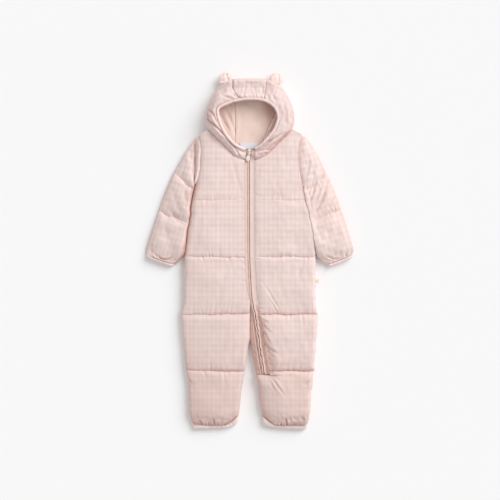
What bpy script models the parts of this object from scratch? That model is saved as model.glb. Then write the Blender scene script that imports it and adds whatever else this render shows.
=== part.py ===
# Baby snowsuit with a hood and ears, laid flat on its back on a surface.
#
# The suit lies on the plane z = 0, face up, with the hood towards +Y and the wearer's left side towards +X.
# The tables are in millimetres. A distance "out" is measured from the centre line towards a side, so one
# table serves both sides: the wearer's right side has side = -1 and the left side has side = +1.
# A panel is a padded wall: its outer points carry the quilting and the folds, and its inner points are plain.

from collections import namedtuple

import bpy
import bmesh
import numpy as np
from mathutils import Matrix, Vector

for old in list(bpy.data.objects):
    bpy.data.objects.remove(old, do_unlink=True)

MM = 0.001
SEAM_GAP = 0.3          # between two pieces that are sewn together
LOOSE_GAP = 1.2         # between a sleeve and the side it lies against
RIGHT, LEFT = -1, 1

# Body, from the shoulder to the leg hem.
BACK_THICK = 11.0       # the back panels, flat on the surface
FRONT_CREST = 22.0      # the front wall at the middle of a quilted channel
FRONT_STITCH = 11.0     # and at a quilting line
CHEST_STITCH = 17.5     # the chest line is drawn in less
LEG_CREST = 20.0
EDGE_ROLL = 30.0        # how far a channel takes to reach its full height from a side seam
BACK_ROLL = 8.0         # radius of the back's lower edge
NECK_EDGE = 13.0        # wall thickness along the neck seam
HEM_END = -401.0        # where the padded leg ends and its binding starts
HEM_FALL = 30.0         # length over which the elastic draws the leg flat
HEM_SPLIT = 6.5         # height between front and back at the hem
HEM_WALL = 7.5          # front wall there
HEM_LIFT = 20.0         # the hem rises this much at the inner leg
HEM_CORNER = 0.27       # over this share of its width
CROTCH = -203.0
QUILT_LINES = (117.0, -15.0, -145.5, -276.5)
GATHER = 1.3            # height of the small gathers above hems and cuffs

# Zip, which runs down the centre and on into the left leg.
ZIP_TOP = 232.0
ZIP_BEND = -112.0       # from here a strip of cloth lies between the centre and the zip
ZIP_END = -286.0
TAPE_WIDE = 7.6
TAPE_THICK = 1.2
LIP_THICK = 5.7         # the panel under the tape
ZIP_SHOULDER = 12.0     # wall thickness beside the tape
CHAIN_WIDE = 4.2
CHAIN_THICK = 2.0
PLACKET_IN, PLACKET_OUT = 3.4, 11.6    # from the chain's centre, on the left front
PLACKET_LIP = 12.0      # width of the left panel's lip, which carries tape and placket
SLIDER_WIDE = 6.0
SLIDER_TOP, SLIDER_END = 234.0, 221.0
SLIDER_HIGH = 5.0
HINGE_Y = 229.0
HINGE_RISE = 2.6        # the pull's bar above the slider
BAR_RADIUS, BORE_RADIUS, KNUCKLE_RADIUS = 0.65, 1.05, 1.9
KNUCKLE_LONG = 3.2
PULL_LONG, PULL_WIDE, PULL_THICK = 23.5, 10.6, 1.8
PULL_DROOP = 10.0       # degrees that the pull hangs below level, onto the chain
PULL_LEAN = -5.0        # degrees to one side

# Hood.
RIM_HEIGHT = 44.0       # height of the face opening's edge at the forehead
HOOD_WIDEST = 15.0      # height at which the hood is widest
HOOD_WALL = 7.5
HOOD_UNDER = 20.0       # how far the sides turn in on the surface
HOOD_BACK_THICK = 6.0
LINING_THICK = 4.6
LINING_INSET = 17.4     # from the hood's outline
LiningSeam = namedtuple("LiningSeam", ("top_x", "low_x"))
LINING_SEAMS = {RIGHT: LiningSeam(-35.0, -33.0), LEFT: LiningSeam(55.0, 30.0)}
LINING_TOP, LINING_LOW = 366.0, 241.0    # y of the seams' ends
LINING_NAPE = (-9.0, 233.0)              # x and y of the corner at the nape
BAND_FLOOR = 14.6       # underside of the band between face opening and neck
BINDING_WIDE = 6.4

# Body outline: distance out of the sides, and the wall's thickness at that edge. It is thick at the armhole,
# where the sleeve is sewn on, and thin at the side seam.
BODY_COLUMNS = ("y", "right", "left", "edge")
BODY_ROWS = (
    (278.5, 97.5, 98.5, 9.0),     # neck corner
    (265.0, 115.5, 119.0, 10.0),  # shoulder point
    (248.0, 113.5, 114.0, 10.0),
    (228.0, 112.5, 111.0, 10.0),
    (196.0, 113.5, 112.0, 10.0),
    (168.0, 119.0, 116.5, 9.0),
    (144.0, 127.5, 121.5, 6.0),   # underarm
    (117.0, 134.5, 127.0, 3.0),
    (85.0, 139.0, 135.0, 3.0),
    (52.0, 143.5, 142.0, 3.0),
    (20.0, 147.7, 147.0, 3.0),
    (-14.0, 151.3, 151.8, 3.0),   # waist
    (-95.0, 151.8, 151.3, 3.0),
    (-132.0, 155.5, 154.0, 3.0),
    (-148.0, 158.7, 157.5, 3.0),  # hip
    (-171.0, 156.4, 156.4, 3.0),
    (-228.0, 151.5, 151.8, 3.0),
    (-276.0, 146.7, 148.6, 3.0),  # knee
    (-325.0, 140.5, 142.6, 3.0),
    (-366.0, 139.6, 140.3, 3.0),
    (-388.0, 136.5, 136.5, 3.0),
    (-401.0, 132.0, 133.0, 4.0),  # hem
)

# Inner edge of each leg.
INNER_LEG_COLUMNS = ("y", "right", "left")
INNER_LEG_ROWS = (
    (-203.0, 0.2, 0.2),
    (-219.0, 3.9, 3.9),
    (-247.0, 6.9, 6.9),
    (-274.0, 11.5, 12.2),
    (-302.0, 16.0, 17.9),
    (-329.0, 20.2, 20.7),
    (-357.0, 22.3, 23.0),
    (-375.0, 24.0, 25.3),
    (-401.0, 32.0, 35.0),
)

# Seam between front and hood, and the hood's seam to the back at the nape, from the corner to the centre.
NECK_COLUMNS = ("y", "out")
NECK_ROWS = (
    (278.0, 97.0), (262.5, 81.7), (246.8, 64.9), (231.8, 50.6), (219.0, 36.8), (211.6, 21.9), (209.0, 12.0),
)
NAPE_ROWS = ((276.0, 96.5), (262.0, 76.0), (247.5, 50.0), (236.5, 27.0), (230.0, 9.0), (227.0, 0.2))

# Centre of the zip's chain, as x on the suit.
ZIP_COLUMNS = ("y", "x")
ZIP_ROWS = (
    (232.0, -1.4),
    (100.0, -1.2),
    (-14.0, -0.5),
    (-60.0, 1.6),
    (-90.0, 3.0),
    (-113.0, 5.2),
    (-145.0, 11.7),
    (-171.0, 16.1),
    (-205.0, 20.7),
    (-233.0, 24.5),
    (-260.0, 29.2),
    (-286.0, 33.6),
)

# Sleeves, from the armhole to the cuff seam. A row crosses the sleeve from its outer edge to its inner edge.
SLEEVE_COLUMNS = ("outer_out", "outer_y", "inner_out", "inner_y", "crest")
SLEEVE_ROWS = {
    RIGHT: (
        (115.5, 264.5, 125.1, 149.5, 23.0),   # armhole seam
        (121.9, 261.5, 126.7, 149.0, 29.0),
        (128.8, 256.0, 128.6, 148.0, 17.0),   # deep fold beside the armhole
        (139.2, 241.0, 129.2, 146.6, 25.0),
        (150.7, 220.3, 129.8, 145.0, 29.0),
        (161.0, 199.6, 130.4, 143.4, 28.0),
        (170.9, 179.4, 131.4, 140.5, 19.0),   # upper quilting line
        (182.9, 153.6, 134.0, 126.0, 29.0),
        (196.0, 123.7, 139.0, 96.1, 29.0),
        (208.6, 91.5, 143.6, 61.6, 18.0),     # lower quilting line
        (218.5, 63.9, 147.2, 36.3, 28.0),
        (227.7, 36.3, 150.0, 13.3, 30.0),
        (235.0, 11.0, 154.5, -8.5, 27.0),
        (238.5, -2.2, 166.2, -23.0, 20.0),
        (237.6, -8.0, 175.0, -32.3, 15.0),    # cuff seam
    ),
    LEFT: (
        (119.0, 265.0, 121.0, 146.0, 23.0),
        (128.8, 263.0, 121.9, 144.5, 27.0),
        (135.7, 256.0, 122.4, 143.0, 28.0),
        (144.9, 239.9, 122.9, 141.5, 28.0),
        (156.4, 219.2, 123.4, 139.5, 28.0),
        (167.0, 198.5, 124.0, 137.0, 27.0),
        (178.3, 174.3, 125.2, 132.9, 20.0),
        (188.6, 151.3, 129.0, 116.8, 28.0),
        (200.1, 123.7, 135.6, 89.2, 28.0),
        (210.0, 96.6, 141.5, 62.8, 18.0),
        (219.4, 68.5, 146.4, 36.3, 28.0),
        (228.2, 40.9, 150.6, 11.0, 30.0),
        (236.0, 14.5, 156.9, -10.8, 27.0),
        (240.3, -0.5, 167.5, -23.5, 20.0),
        (240.2, -8.4, 178.5, -30.6, 15.0),
    ),
}
SLEEVE_LINES = (2.0, 6.0, 9.0, 13.6)   # rows between which a sleeve puffs
SLEEVE_STATIONS = (
    0, 0.5, 1, 1.5, 2, 2.5, 3.2, 4, 5, 5.6, 6, 6.3, 6.8,
    7.5, 8.3, 8.75, 9, 9.2, 9.6, 10.3, 11.2, 12, 12.7, 13.3, 14,
)
SLEEVE_CREST = 29.0     # in the middle of a puff
CUFF_LONG = 6.5
CUFF_GAP = 0.5
HEM_GAP = 0.9           # wider, because the hem's panels turn a bend in few points
BINDING_STEPS = ((0.0, 12.4), (0.18, 13.6), (0.6, 13.6), (0.92, 12.6), (1.0, 11.4))   # part of length, height
BINDING_WALL = 4.9
SLIT = 3.0              # open height inside a sleeve that lies flat

# Ring round a flat tube, near one edge: distance in from the edge, then height as a share of the crest.
TUBE_ROUND = ((0.0, 0.36), (1.6, 0.58), (6.0, 0.78), (14.0, 0.93))
TUBE_UNDER = ((8.0, 0.0), (2.0, 0.13))
TUBE_MIDDLE = ((0.27, 0.985), (0.4, 1.0), (0.5, 1.0), (0.6, 1.0), (0.73, 0.985))   # both as shares

# Hood panels. A row runs from the face opening's edge to the outline; "under" is 1 where the panel turns
# round the outline to the surface and 0 along the neck seam.
HoodRow = namedtuple("HoodRow", ("in_out", "in_y", "out_out", "out_y", "rim", "under"))
HOOD_SIDE_ROWS = {
    RIGHT: (
        (22.0, 348.7, 37.4, 394.5, 44.0, 1.0),   # seam to the centre panel
        (36.8, 346.2, 53.0, 389.0, 43.5, 1.0),
        (51.8, 340.9, 67.5, 380.5, 43.0, 1.0),
        (65.6, 334.9, 80.5, 366.5, 42.5, 1.0),
        (75.4, 328.0, 89.0, 350.3, 42.0, 1.0),
        (77.5, 319.2, 96.1, 333.0, 41.5, 1.0),
        (75.9, 307.7, 101.9, 317.0, 41.0, 1.0),
        (71.3, 292.8, 103.5, 303.0, 40.5, 1.0),
        (64.4, 276.7, 101.2, 291.0, 40.0, 1.0),
        (55.2, 261.7, 97.0, 279.5, 39.5, 1.0),   # neck corner
        (44.9, 249.6, 81.4, 263.4, 38.0, 0.0),
        (34.5, 240.1, 64.5, 247.7, 36.0, 0.0),
        (24.2, 234.1, 50.1, 232.5, 33.0, 0.0),
        (15.9, 230.9, 36.5, 219.9, 30.0, 0.0),
        (11.0, 229.9, 21.8, 212.3, 28.0, 0.0),
        (9.2, 229.6, 10.2, 209.6, 27.0, 0.0),    # beside the zip
    ),
    LEFT: (
        (33.6, 347.1, 38.6, 394.5, 44.0, 1.0),
        (44.9, 342.2, 56.0, 389.0, 43.5, 1.0),
        (54.1, 335.8, 70.5, 379.0, 43.0, 1.0),
        (61.6, 327.5, 82.5, 363.0, 42.5, 1.0),
        (66.2, 318.1, 91.7, 347.0, 42.0, 1.0),
        (68.1, 307.7, 97.8, 331.9, 41.5, 1.0),
        (67.4, 297.4, 101.9, 317.0, 41.0, 1.0),
        (63.9, 285.9, 102.6, 303.0, 40.5, 1.0),
        (58.0, 274.6, 101.0, 290.5, 40.0, 1.0),
        (50.1, 264.0, 97.6, 279.5, 39.5, 1.0),
        (41.4, 253.7, 81.4, 263.4, 38.0, 0.0),
        (32.9, 244.9, 64.5, 247.7, 36.0, 0.0),
        (25.3, 238.3, 50.1, 232.5, 33.0, 0.0),
        (18.5, 233.8, 36.5, 219.9, 30.0, 0.0),
        (14.0, 231.5, 21.8, 212.3, 28.0, 0.0),
        (11.8, 230.5, 12.2, 209.6, 27.0, 0.0),
    ),
}
HOOD_CENTRE_COLUMNS = ("in_x", "in_y", "out_x", "out_y")
HOOD_CENTRE_ROWS = (
    (-21.5, 348.8, -36.9, 394.8),
    (-8.0, 350.6, -18.0, 396.2),
    (6.0, 350.8, 1.0, 396.4),
    (20.0, 349.8, 20.0, 396.2),
    (33.1, 347.3, 38.1, 394.8),
)
HOOD_GATHERS = 9        # small gathers above the forehead

# Largest folds: each is a trough from one place to another, on the suit's own x and y.
FoldRow = namedtuple("FoldRow", ("x0", "y0", "x1", "y1", "half_width", "depth"))
FOLDS = (
    (-39.0, 208.0, -16.0, 128.0, 5.0, 2.0),    # below the neck seam
    (28.0, 202.0, 14.0, 163.0, 5.0, 1.6),
    (18.0, -72.0, 69.0, -140.0, 7.0, 3.0),     # from the zip across the left thigh
    (40.0, -280.0, 80.0, -333.0, 6.0, 3.2),    # from the end of the zip
    (40.0, -280.0, 59.0, -328.0, 5.0, 2.6),
    (40.0, -224.0, 61.0, -236.0, 6.0, 3.0),
    (149.0, 159.0, 131.0, 104.0, 6.0, 4.0),    # across the left sleeve
    (176.5, 124.0, 139.0, 84.0, 7.0, 4.5),
    (184.0, 166.0, 160.0, 110.0, 6.0, 3.0),
    (-181.0, 88.0, -162.0, 64.0, 6.0, 2.5),    # across the right sleeve
    (-176.0, 140.0, -158.0, 84.0, 8.0, 2.0),
)

# Ears: middle of the base, tilt of the ear away from +Y, and its size.
EarRow = namedtuple("EarRow", ("base_x", "base_y", "tilt", "half_width", "height"))
EAR_ROWS = {RIGHT: EarRow(-55.5, 388.0, 22.0, 14.5, 22.0), LEFT: EarRow(58.5, 388.4, -24.0, 15.0, 22.5)}
EAR_THICK = 11.0
EAR_WIDEST = 0.36       # of its height
EAR_BASE_HEIGHT = 17.0

LABEL_X, LABEL_Y = -1.6, 241.5
LABEL_WIDE, LABEL_HIGH, LABEL_THICK = 43.0, 14.0, 1.0
TAG_WIDE, TAG_LONG, TAG_THICK = 8.0, 6.4, 2.4
TAG_Y = -69.5

COLOURS = {  # base colour, roughness
    "checked_shell": ((0.79, 0.62, 0.58), 0.75),
    "hood_lining": ((0.77, 0.57, 0.50), 0.85),
    "plain_binding": ((0.86, 0.70, 0.66), 0.6),
    "zip_tape": ((0.66, 0.52, 0.48), 0.7),
    "zip_plastic": ((0.88, 0.84, 0.80), 0.35),
    "label_satin": ((0.80, 0.82, 0.90), 0.5),
    "tag_ribbon": ((0.72, 0.55, 0.33), 0.6),
}


def side_name(name, side):
    return f"{name}_right" if side == RIGHT else f"{name}_left"


def column(rows, columns, name):
    """One named column of a table, as an array."""
    place = columns.index(name)
    return np.array([row[place] for row in rows], float)


def smooth(keys, values, wanted):
    """Cubic curve through (keys, values), read at the wanted keys. It never overshoots."""
    order = np.argsort(keys)
    keys, values = np.asarray(keys, float)[order], np.asarray(values, float)[order]
    wanted = np.clip(wanted, keys[0], keys[-1])
    steps = np.diff(keys)
    slopes = np.diff(values) / steps
    tangents = np.zeros(len(keys))
    tangents[0], tangents[-1] = slopes[0], slopes[-1]
    rising = slopes[:-1] * slopes[1:] > 0
    mean = 2 * slopes[:-1] * slopes[1:] / np.where(rising, slopes[:-1] + slopes[1:], 1)
    tangents[1:-1] = np.where(rising, mean, 0)
    place = np.clip(np.searchsorted(keys, wanted, side="right") - 1, 0, len(steps) - 1)
    width = steps[place]
    part = (wanted - keys[place]) / width
    return (
        values[place] * (1 + 2 * part) * (1 - part) ** 2
        + values[place + 1] * part ** 2 * (3 - 2 * part)
        + width * tangents[place] * part * (1 - part) ** 2
        - width * tangents[place + 1] * part ** 2 * (1 - part)
    )


def rise(distance, reach):
    """0 at an edge, 1 from the given reach on, round like a quarter circle."""
    part = np.clip(np.asarray(distance, float) / reach, 0, 1)
    return np.sqrt(1 - (1 - part) ** 2)


def pillow(place, lines):
    """0 on each line and 1 in the middle between two, full in shape. Outside the lines it is 1."""
    lines = sorted(lines)
    height = np.ones_like(np.asarray(place, float))
    for low, high in zip(lines, lines[1:]):
        inside = (place >= low) & (place <= high)
        part = np.abs(2 * (place - low) / (high - low) - 1)
        height = np.where(inside, (1 - np.clip(part, 0, 1) ** 2.4) ** 0.6, height)
    return height


def along(path, distances):
    """Points at these distances along a path of x, y points."""
    path = np.asarray(path, float)
    lengths = np.concatenate([[0], np.cumsum(np.linalg.norm(np.diff(path, axis=0), axis=1))])
    return np.stack([np.interp(distances, lengths, values) for values in path.T], axis=1)


def path_length(path):
    return float(np.linalg.norm(np.diff(np.asarray(path, float), axis=0), axis=1).sum())


def fold_depth(x, y):
    """How far the folds press a surface down at x, y: a soft trough along each, fading at both ends."""
    depth = np.zeros(np.broadcast(x, y).shape)
    for fold in (FoldRow(*row) for row in FOLDS):
        run_x, run_y = fold.x1 - fold.x0, fold.y1 - fold.y0
        length = np.hypot(run_x, run_y)
        part = ((x - fold.x0) * run_x + (y - fold.y0) * run_y) / length ** 2
        away = np.abs((x - fold.x0) * run_y - (y - fold.y0) * run_x) / length
        fade = np.clip(np.minimum(part, 1 - part) * 4 + 0.25, 0, 1)
        depth += fold.depth * fade * np.exp(-((away / fold.half_width) ** 2))
    return depth


def body_side(side, y):
    name = "right" if side == RIGHT else "left"
    return smooth(column(BODY_ROWS, BODY_COLUMNS, "y"), column(BODY_ROWS, BODY_COLUMNS, name), y)


def body_edge(y):
    return smooth(column(BODY_ROWS, BODY_COLUMNS, "y"), column(BODY_ROWS, BODY_COLUMNS, "edge"), y)


def inner_leg(side, y):
    name = "right" if side == RIGHT else "left"
    rows = INNER_LEG_ROWS
    return smooth(column(rows, INNER_LEG_COLUMNS, "y"), column(rows, INNER_LEG_COLUMNS, name), y)


def zip_x(y):
    return smooth(column(ZIP_ROWS, ZIP_COLUMNS, "y"), column(ZIP_ROWS, ZIP_COLUMNS, "x"), y)


def seam_out(rows, y):
    """Distance out of the neck or nape seam at y, straight between its rows."""
    ys = column(rows, NECK_COLUMNS, "y")[::-1]
    return np.interp(y, ys, column(rows, NECK_COLUMNS, "out")[::-1])


def split_height(y):
    """Height between the back and the front: level, and lower where the elastic draws the hem flat."""
    part = np.clip((y - HEM_END) / HEM_FALL, 0, 1)
    return HEM_SPLIT + (BACK_THICK - HEM_SPLIT) * part


def crest_thickness(y):
    """Thickness of the front wall in the middle of its width, from channel to channel."""
    full = np.interp(y, (-276, -145), (LEG_CREST, FRONT_CREST))
    low = np.interp(y, (60, 100), (FRONT_STITCH, CHEST_STITCH))
    lines = (HEM_END - 20,) + QUILT_LINES + (290.0,)
    thick = low + (full - low) * pillow(y, lines)
    flat = np.clip((y - HEM_END) / HEM_FALL, 0, 1)
    return HEM_WALL + (thick - HEM_WALL) * np.sqrt(flat)


def hem_lift(y, part):
    """The rows above the hem bend up towards the inner leg. part is 0 at the inner edge and 1 at the side."""
    nearness = np.clip(1 - (y - HEM_END) / 70, 0, 1) ** 1.5
    return HEM_LIFT * nearness * np.clip(1 - part / HEM_CORNER, 0, 1)


def material(slot):
    found = bpy.data.materials.get(slot)
    if found:
        return found
    colour, roughness = COLOURS[slot]
    made = bpy.data.materials.new(slot)
    made.use_nodes = True
    shader = made.node_tree.nodes["Principled BSDF"]
    shader.inputs["Base Color"].default_value = (*colour, 1)
    shader.inputs["Roughness"].default_value = roughness
    shader.inputs["Metallic"].default_value = 0
    return made


def finish_object(name, slot, work):
    """Turns a bmesh in millimetres into a named object in metres, with its faces outwards."""
    bmesh.ops.recalc_face_normals(work, faces=work.faces)
    bmesh.ops.scale(work, vec=(MM, MM, MM), verts=work.verts)
    mesh = bpy.data.meshes.new(name)
    work.to_mesh(mesh)
    work.free()
    mesh.shade_smooth()
    mesh.set_sharp_from_angle(angle=np.radians(50))
    mesh.materials.append(material(slot))
    made = bpy.data.objects.new(name, mesh)
    bpy.context.scene.collection.objects.link(made)
    return made


def loft(name, slot, sections):
    """Closed solid through sections that all have the same number of points, with both ends filled."""
    work = bmesh.new()
    rings = [[work.verts.new(point) for point in section] for section in sections]
    for ring, following in zip(rings, rings[1:]):
        for i in range(len(ring)):
            j = (i + 1) % len(ring)
            work.faces.new((ring[i], ring[j], following[j], following[i]))
    work.faces.new(rings[0])
    work.faces.new(rings[-1])
    return finish_object(name, slot, work)


def join_rings(work, outer, inner):
    """Closes the end between two rings of different counts, always across the shorter diagonal."""
    i, j = 0, 0
    while i < len(outer) or j < len(inner):
        a, b = outer[i % len(outer)], inner[j % len(inner)]
        next_a, next_b = outer[(i + 1) % len(outer)], inner[(j + 1) % len(inner)]
        outer_turn = (next_a.co - b.co).length <= (next_b.co - a.co).length
        if j == len(inner) or (outer_turn and i < len(outer)):
            work.faces.new((a, next_a, b))
            i += 1
        else:
            work.faces.new((a, next_b, b))
            j += 1


def tube(name, slot, outer_sections, inner_sections):
    """Hollow loft: an outer skin, an inner skin, and both open ends joined between them."""
    work = bmesh.new()
    ends = []
    for sections in (outer_sections, inner_sections):
        rings = [[work.verts.new(point) for point in section] for section in sections]
        for ring, following in zip(rings, rings[1:]):
            for i in range(len(ring)):
                j = (i + 1) % len(ring)
                work.faces.new((ring[i], ring[j], following[j], following[i]))
        ends.append((rings[0], rings[-1]))
    for outer, inner in zip(*ends):
        join_rings(work, outer, inner)
    return finish_object(name, slot, work)


def prism(name, slot, outline, low, high):
    """Flat plate: an outline of x, y points between two heights."""
    work = bmesh.new()
    for height in (low, high):
        work.faces.new([work.verts.new((x, y, height)) for x, y in outline])
    work.verts.ensure_lookup_table()
    count = len(outline)
    for i in range(count):
        j = (i + 1) % count
        work.faces.new((work.verts[i], work.verts[j], work.verts[count + j], work.verts[count + i]))
    return finish_object(name, slot, work)


# ---- body panels

NARROW_LIP = 0.6
SHOULDER_STEPS = (0.3, 3.4, 8.4, 16.4, 27.4)
OUTER_STEPS = (27.0, 14.0, 6.0, 1.6, 0.0)
MIDDLE_PARTS = (0.2, 0.4, 0.6, 0.8)


def lip_width(side):
    return TAPE_WIDE if side == RIGHT else PLACKET_LIP


def panel_columns(inner, outer, lip):
    """Distances out of a panel's points: the lip, fixed steps from each edge and even ones between, squeezed
    where the panel is narrow."""
    width = outer - inner
    squeeze = min(1.0, width / 90)
    near = inner + squeeze * np.concatenate([(0.0, lip), lip + np.array(SHOULDER_STEPS)])
    far = outer - squeeze * np.array(OUTER_STEPS)
    middle = near[-1] + (far[0] - near[-1]) * np.array(MIDDLE_PARTS)
    return np.concatenate([near, middle, far])


def front_section(side, y, inner, kind):
    """One section across a front. kind says what its inner edge is: neck seam, zip or inner leg."""
    outer = body_side(side, y) - SEAM_GAP
    lip = NARROW_LIP if kind == "neck" else lip_width(side)
    out = panel_columns(inner, outer, lip)
    crest, edge = crest_thickness(y), body_edge(y)
    from_inner, from_outer = out - inner, outer - out
    side_rise = edge + (crest - edge) * rise(from_outer, EDGE_ROLL)
    if kind == "zip":
        shoulder = min(ZIP_SHOULDER, crest)
        raised = shoulder + (crest - shoulder) * rise(from_inner - lip, 22)
        inner_rise = np.where(from_inner <= lip + 0.1, LIP_THICK, raised)
    elif kind == "neck":
        inner_rise = NECK_EDGE + (crest - NECK_EDGE) * rise(from_inner, 24)
        if inner < NECK_ROWS[-1][1] + 0.1:
            inner_rise[:2] = LIP_THICK    # level with the lip that starts just below
    else:
        inner_rise = 3.0 + (crest - 3.0) * rise(from_inner, EDGE_ROLL)
    thick = np.minimum(side_rise, inner_rise)
    near_hem = np.clip(1 - (y - HEM_END) / 26, 0, 1)
    waves = GATHER * near_hem * np.where(np.arange(len(out)) % 2 == 0, 1, -1)
    part = (out - inner) / (outer - inner)
    rows = y + hem_lift(y, part)
    thick = np.maximum(thick + waves - fold_depth(side * out, rows), np.minimum(thick, 3.0))
    floor = split_height(y) + SEAM_GAP
    top = np.stack([side * out, rows, floor + thick], axis=1)
    plain = top[[-1, 10, 6, 3, 0]].copy()
    plain[:, 2] = floor
    return np.concatenate([top, plain])


def channel_stations(high, low):
    """Places of the sections between two quilting lines, closer together near the lines."""
    parts = np.array((0.0, 0.03, 0.10, 0.24, 0.42, 0.60, 0.78, 0.91, 0.975))
    return list(high + (low - high) * parts)


def front_stations():
    neck = [row[0] - 0.4 for row in NECK_ROWS]
    chest = list(np.interp((0.0, 0.1, 0.3, 0.55, 0.78, 0.93), (0, 1), (neck[-1] - 0.4, QUILT_LINES[0])))
    stations = neck + chest
    for high, low in zip(QUILT_LINES, QUILT_LINES[1:]):
        stations += channel_stations(high, low)
    knee = QUILT_LINES[-1]
    stations += [knee, knee - 4, knee - 14, knee - 34]
    return stations + [-335.0, -360.0, -374.0, -384.0, -392.0, -397.5, HEM_END]


def with_steps(stations, steps):
    """The stations with these step places added, and any that lies too close to a step left out."""
    kept = [y for y in stations if min(abs(y - step) for step in steps) > 1.5]
    return sorted(kept + list(steps), reverse=True)


def front_panel(side):
    """A front from the neck seam to the hem. The zip leaves the right front's edge at the bend, and the left
    one's at its lower end."""
    last_zip = ZIP_BEND if side == RIGHT else ZIP_END
    steps = (last_zip + 0.1, last_zip - 0.1, CROTCH)
    sections = []
    for y in with_steps(front_stations(), steps):
        if y > NECK_ROWS[-1][0] - 0.5:
            inner, kind = seam_out(NECK_ROWS, y + 0.4), "neck"
        elif y > last_zip:
            inner, kind = side * zip_x(y) + SEAM_GAP / 2, "zip"
        else:
            inner, kind = inner_leg(side, y) + SEAM_GAP / 2, "leg"
        sections.append(front_section(side, y, inner, kind))
    return loft(side_name("front", side), "checked_shell", sections)


def inner_leg_strip():
    """The strip between the centre and the zip, with a lip of its own under the zip's right tape."""
    sections = []
    top = ZIP_BEND - 0.1 - SEAM_GAP
    for y in with_steps(front_stations(), (top, CROTCH, ZIP_END + SEAM_GAP)):
        if y > top or y < ZIP_END + SEAM_GAP - 0.1:
            continue
        inner = inner_leg(LEFT, y) + SEAM_GAP
        outer = zip_x(y) - SEAM_GAP / 2
        lip = max(outer - TAPE_WIDE, inner + 0.6)
        width = lip - inner
        edge = 3.0 if y < CROTCH else LIP_THICK
        hill = LIP_THICK + 0.42 * max(0.0, width - 2.5)
        floor = split_height(y) + SEAM_GAP
        points = (
            (inner, edge),
            (inner + 0.25 * width, edge + 0.7 * (hill - edge)),
            (inner + 0.6 * width, hill),
            (lip - 0.2, LIP_THICK + 0.6 * (hill - LIP_THICK)),
            (lip, LIP_THICK),
            (outer, LIP_THICK),
            (outer, 0.0),
            (inner, 0.0),
        )
        sections.append([(x, y, floor + height) for x, height in points])
    return loft("inner_leg_strip", "checked_shell", sections)


def back_section(side, y, inner, inner_roll):
    outer = body_side(side, y) - SEAM_GAP
    high = split_height(y)
    squeeze = min(1.0, (outer - inner) / 30)
    roll, inner_roll = BACK_ROLL * squeeze, inner_roll * squeeze
    middle = (inner + outer) / 2
    points = (
        (inner, high), (middle, high), (outer, high),
        (outer, 0.72 * high), (outer - 0.3 * roll, 0.28 * high), (outer - roll, 0.0),
        (middle, 0.0),
        (inner + inner_roll, 0.0), (inner + 0.3 * inner_roll, 0.28 * high), (inner, 0.72 * high),
    )
    out = np.array([point[0] for point in points])
    rows = y + hem_lift(y, (out - inner) / (outer - inner))
    return [(side * point[0], row, point[1]) for point, row in zip(points, rows)]


def back_panel(side):
    """A back half from the nape seam to the hem, flat on the surface."""
    nape = [row[0] - 0.4 for row in NAPE_ROWS]
    body = [205.0, 180.0, 160.0, 144.0, 117.0, 85.0, 52.0, 20.0, -14.0, -55.0, -95.0, -132.0, -148.0, -171.0]
    legs = [CROTCH + 2, CROTCH - 2, -219.0, -247.0, -276.0, -302.0, -325.0, -350.0, -374.0, -384.0, -392.0]
    legs.append(HEM_END)
    sections = []
    for y in nape + body + legs:
        if y > NAPE_ROWS[-1][0] - 0.5:
            inner = max(seam_out(NAPE_ROWS, y + 0.4), SEAM_GAP / 2)
        else:
            inner = inner_leg(side, y) if y < CROTCH else SEAM_GAP / 2
        sections.append(back_section(side, y, inner, BACK_ROLL if y < CROTCH else 1.0))
    return loft(side_name("back", side), "checked_shell", sections)


# ---- sleeves, cuffs and hems

def flat_tube_section(path, crest, wall_low, waves):
    """Rings of a tube that lies flat across a path: the outer one, flat below and crowned above, and the slit
    inside it."""
    width = path_length(path)
    squeeze = min(1.0, width / 50)
    near = [(squeeze * away, share) for away, share in TUBE_ROUND]
    far = [(width - away, share) for away, share in near[::-1]]
    under = [(squeeze * away, share) for away, share in TUBE_UNDER]
    middle = [(share * width, high) for share, high in TUBE_MIDDLE]
    far_under = [(width - away, share) for away, share in under[::-1]]
    ring = np.array(near + middle + far + far_under + [(0.5 * width, 0)] + under)
    distances, heights = ring[:, 0], ring[:, 1] * crest
    top = np.arange(len(ring)) < len(near + middle + far)
    heights = heights + waves * top * np.where(np.arange(len(ring)) % 2 == 0, 1, -1) * (heights > 0.5 * crest)
    places = along(path, distances)
    folds = np.where(heights > 0.5 * crest, fold_depth(places[:, 0], places[:, 1]), 0)
    outer = np.column_stack([places, heights - np.minimum(folds, 0.25 * crest)])
    inset = min(9.0, 0.15 * width)
    near, far = 0.35 * width, 0.65 * width
    slit = np.array(((inset, 0.5), (near, 1), (far, 1), (width - inset, 0.5), (far, 0), (near, 0)))
    inner = np.column_stack([along(path, slit[:, 0]), wall_low + SLIT * slit[:, 1]])
    return outer, inner


def sleeve_paths(side):
    """The path across the sleeve at each station. The first follows the armhole, and the inner edge keeps
    clear of the body's side."""
    rows = SLEEVE_ROWS[side]
    numbers = np.arange(len(rows), dtype=float)
    places = np.array(SLEEVE_STATIONS, float)
    read = {name: smooth(numbers, column(rows, SLEEVE_COLUMNS, name), places) for name in SLEEVE_COLUMNS[:4]}
    paths = []
    for i, station in enumerate(SLEEVE_STATIONS):
        start = np.array((read["outer_out"][i], read["outer_y"][i]))
        end = np.array((read["inner_out"][i], read["inner_y"][i]))
        end[0] = max(end[0], body_side(side, end[1]) + LOOSE_GAP)
        parts = np.linspace(0, 1, 13)
        path = start + (end - start) * parts[:, None]
        follow = np.clip(1 - station / 3, 0, 1)
        armhole = body_side(side, path[:, 1]) + 0.5
        path[:, 0] = path[:, 0] * (1 - follow) + (armhole + station * 5) * follow
        path[:, 0] = np.maximum(path[:, 0], armhole)
        path[:, 0] *= side
        paths.append(path)
    return paths


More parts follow.
